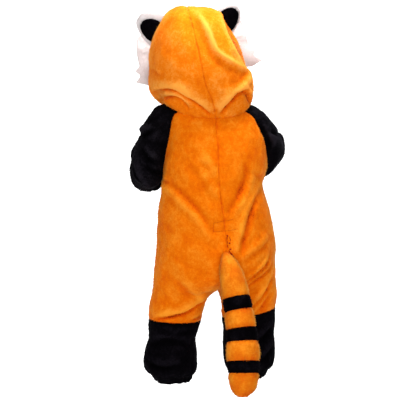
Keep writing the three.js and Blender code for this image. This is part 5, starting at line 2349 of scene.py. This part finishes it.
def set_up(name: str, data: bpy.types.ID, place: tuple, target: tuple) -> Piece:
    """Stands a lamp or camera at a place and turns it to a target.

    Args:
        name: Its name.
        data: Its light or camera data.
        place: Where it stands, in metres.
        target: What it faces.

    Returns:
        The object.
    """
    thing = bpy.data.objects.new(name, data)
    thing.location = place
    thing.rotation_mode = "QUATERNION"
    thing.rotation_quaternion = (Vector(target) - Vector(place)).to_track_quat("-Z", "Y")
    bpy.context.scene.collection.objects.link(thing)
    return thing


@dataclass
class Studio:
    """A pale floor that curves up behind, soft lights, and the camera, in metres."""

    floor_height: float = -0.9
    floor_start: float = -0.2
    floor_half: float = 5.0
    wall: float = 4.4
    wall_top: float = 4.5
    lamps: tuple[Lamp, ...] = (
        Lamp("top_light", (0.1, -0.16, 0.86), 0.45, 15, (0, 0, 0.1)),
        Lamp("low_light", (0.2, -2.5, -0.4), 1.2, 35),
        Lamp("fill_light", (-2.2, -2.2, 1.2), 2.0, 24),
        Lamp("face_light", (0.0, 1.2, 1.2), 1.0, 12),
    )
    air_light: float = 0.4
    camera_place: tuple[float, float, float] = (-0.016, -2.9886, 0.0595)
    camera_target: tuple[float, float, float] = (-0.016, 0.0, -0.202)
    view_width: float = 0.9315
    distance: float = 3.0
    sensor: float = 36.0

    def sweep(self) -> None:
        """Makes the floor and backdrop as one curved sheet."""
        turns = np.linspace(0, math.pi / 2, 16)
        bend = [(self.wall - 1 + math.sin(a), self.floor_height + 1 - math.cos(a)) for a in turns]
        line = [(self.floor_start, self.floor_height), *bend, (self.wall, self.wall_top)]
        points = np.array([(x, y, z) for y, z in line for x in (-self.floor_half, self.floor_half)]) / MM
        make_object("studio_sweep", points, grid_faces(len(line), 2, False), [Paper().material()])

    def build(self) -> None:
        """Sets up the studio."""
        self.sweep()
        for lamp in self.lamps:
            lamp.hang()
        world = bpy.data.worlds.new("studio_air")
        world.use_nodes = True
        air = world.node_tree.nodes["Background"]
        air.inputs["Color"].default_value = (1.0, 1.0, 1.0, 1.0)
        air.inputs["Strength"].default_value = self.air_light
        bpy.context.scene.world = world
        bpy.context.scene.view_settings.view_transform = "Standard"
        data = bpy.data.cameras.new("camera")
        data.sensor_width = self.sensor
        data.lens = self.sensor * self.distance / self.view_width
        bpy.context.scene.camera = set_up("camera", data, self.camera_place, self.camera_target)


# ---- The whole garment ----
def plan_sleeves() -> dict:
    """Gives the two sleeves their sizes.

    Returns:
        The sleeve of each side.
    """
    left = Sleeve(
        Side.LEFT,
        crown=table_of(
            CrownPoint,
            (-116, 0, 30, 0), (-133, 0, 19, 7), (-145, 2, 5, 15), (-155, 4, -12, 24), (-161, 8, -31, 32),
            (-169, 12, -53, 40), (-178, 16, -76, 46), (-184, 22, -100, 48),
        ),
        forearm=table_of(
            ArmSection,
            (-148, 42, -124, 0.02, 0.98, -0.1, 38, 45), (-144, 76, -122, 0.25, 0.95, 0.15, 37, 41),
            (-130, 108, -113, 0.6, 0.75, 0.28, 35, 37), (-104, 132, -101, 0.8, 0.55, 0.32, 32, 33),
            (-82, 146, -91, 0.86, 0.45, 0.33, 28, 29), (-71, 152, -87, 0.86, 0.42, 0.33, 24, 25),
        ),
        belly=(-0.25, -0.62, -0.74),
    )
    right = Sleeve(
        Side.RIGHT,
        crown=table_of(
            CrownPoint,
            (80, 0, 28, 0), (98, 2, 19, 6), (115, 5, 6, 12), (128, 8, -8, 18), (139, 12, -22, 23),
            (146, 17, -36, 25), (154, 22, -51, 24), (160, 28, -66, 20),
        ),
        forearm=table_of(
            ArmSection,
            (143, 46, -70, 0.02, 0.98, 0.05, 25, 34), (134, 80, -67, -0.25, 0.95, 0.2, 28, 34),
            (116, 111, -64, -0.6, 0.75, 0.28, 33, 35), (91, 134, -56, -0.8, 0.55, 0.32, 31, 32),
            (69, 148, -50, -0.86, 0.45, 0.33, 28, 28), (58, 154, -46, -0.86, 0.42, 0.33, 24, 25),
        ),
        belly=(0.45, -0.85, -0.25),
    )
    return {Side.LEFT: left, Side.RIGHT: right}


def plan_lower_legs() -> list[LowerLeg]:
    """Gives the two lower legs their sizes.

    Returns:
        The left and the right one.
    """
    left = LowerLeg(
        Side.LEFT,
        rings=table_of(
            ShinRing,
            (-455, -88, 60, 67, 63), (-478, -92, 56, 63, 60), (-503, -96, 53, 62, 59),
            (-530, -99, 58, 67, 62), (-551, -100, 60, 69, 63), (-568, -98, 57, 64, 59),
            (-582, -95, 48, 54, 51), (-591, -93, 41, 46, 44), (-598, -92, 38, 43, 41),
        ),
    )
    right = LowerLeg(
        Side.RIGHT,
        rings=table_of(
            ShinRing,
            (-439, 78, 61, 67, 63), (-468, 79, 58, 63, 60), (-497, 78, 57, 63, 60), (-520, 79, 59, 67, 62),
            (-540, 80, 58, 67, 61), (-556, 80, 54, 62, 57), (-569, 79, 47, 53, 50), (-579, 78, 41, 46, 44),
            (-587, 78, 38, 43, 41),
        ),
    )
    return [left, right]


def main() -> None:
    """Builds the garment and its studio, piece by piece."""
    logging.basicConfig(level=logging.INFO, format="%(name)s %(message)s")
    Studio().build()
    finishes = Wardrobe()
    trunk = Trunk()
    trunk.cut_panels()
    sleeves = plan_sleeves()
    for sleeve in sleeves.values():
        sleeve.cut_panel(trunk)
    hood = Hood(trunk)
    hood.cut_panels(sleeves)
    legs = plan_lower_legs()
    for leg in legs:
        leg.cut_panel(trunk)
    for part in (trunk, *sleeves.values(), hood, *legs):
        part.build(finishes)
    Trims(hood).build(finishes)
    Tail().build(finishes)
    Closure(trunk).build(finishes)
    BackStitching(trunk).build(finishes)


if __name__ == "__main__":
    main()
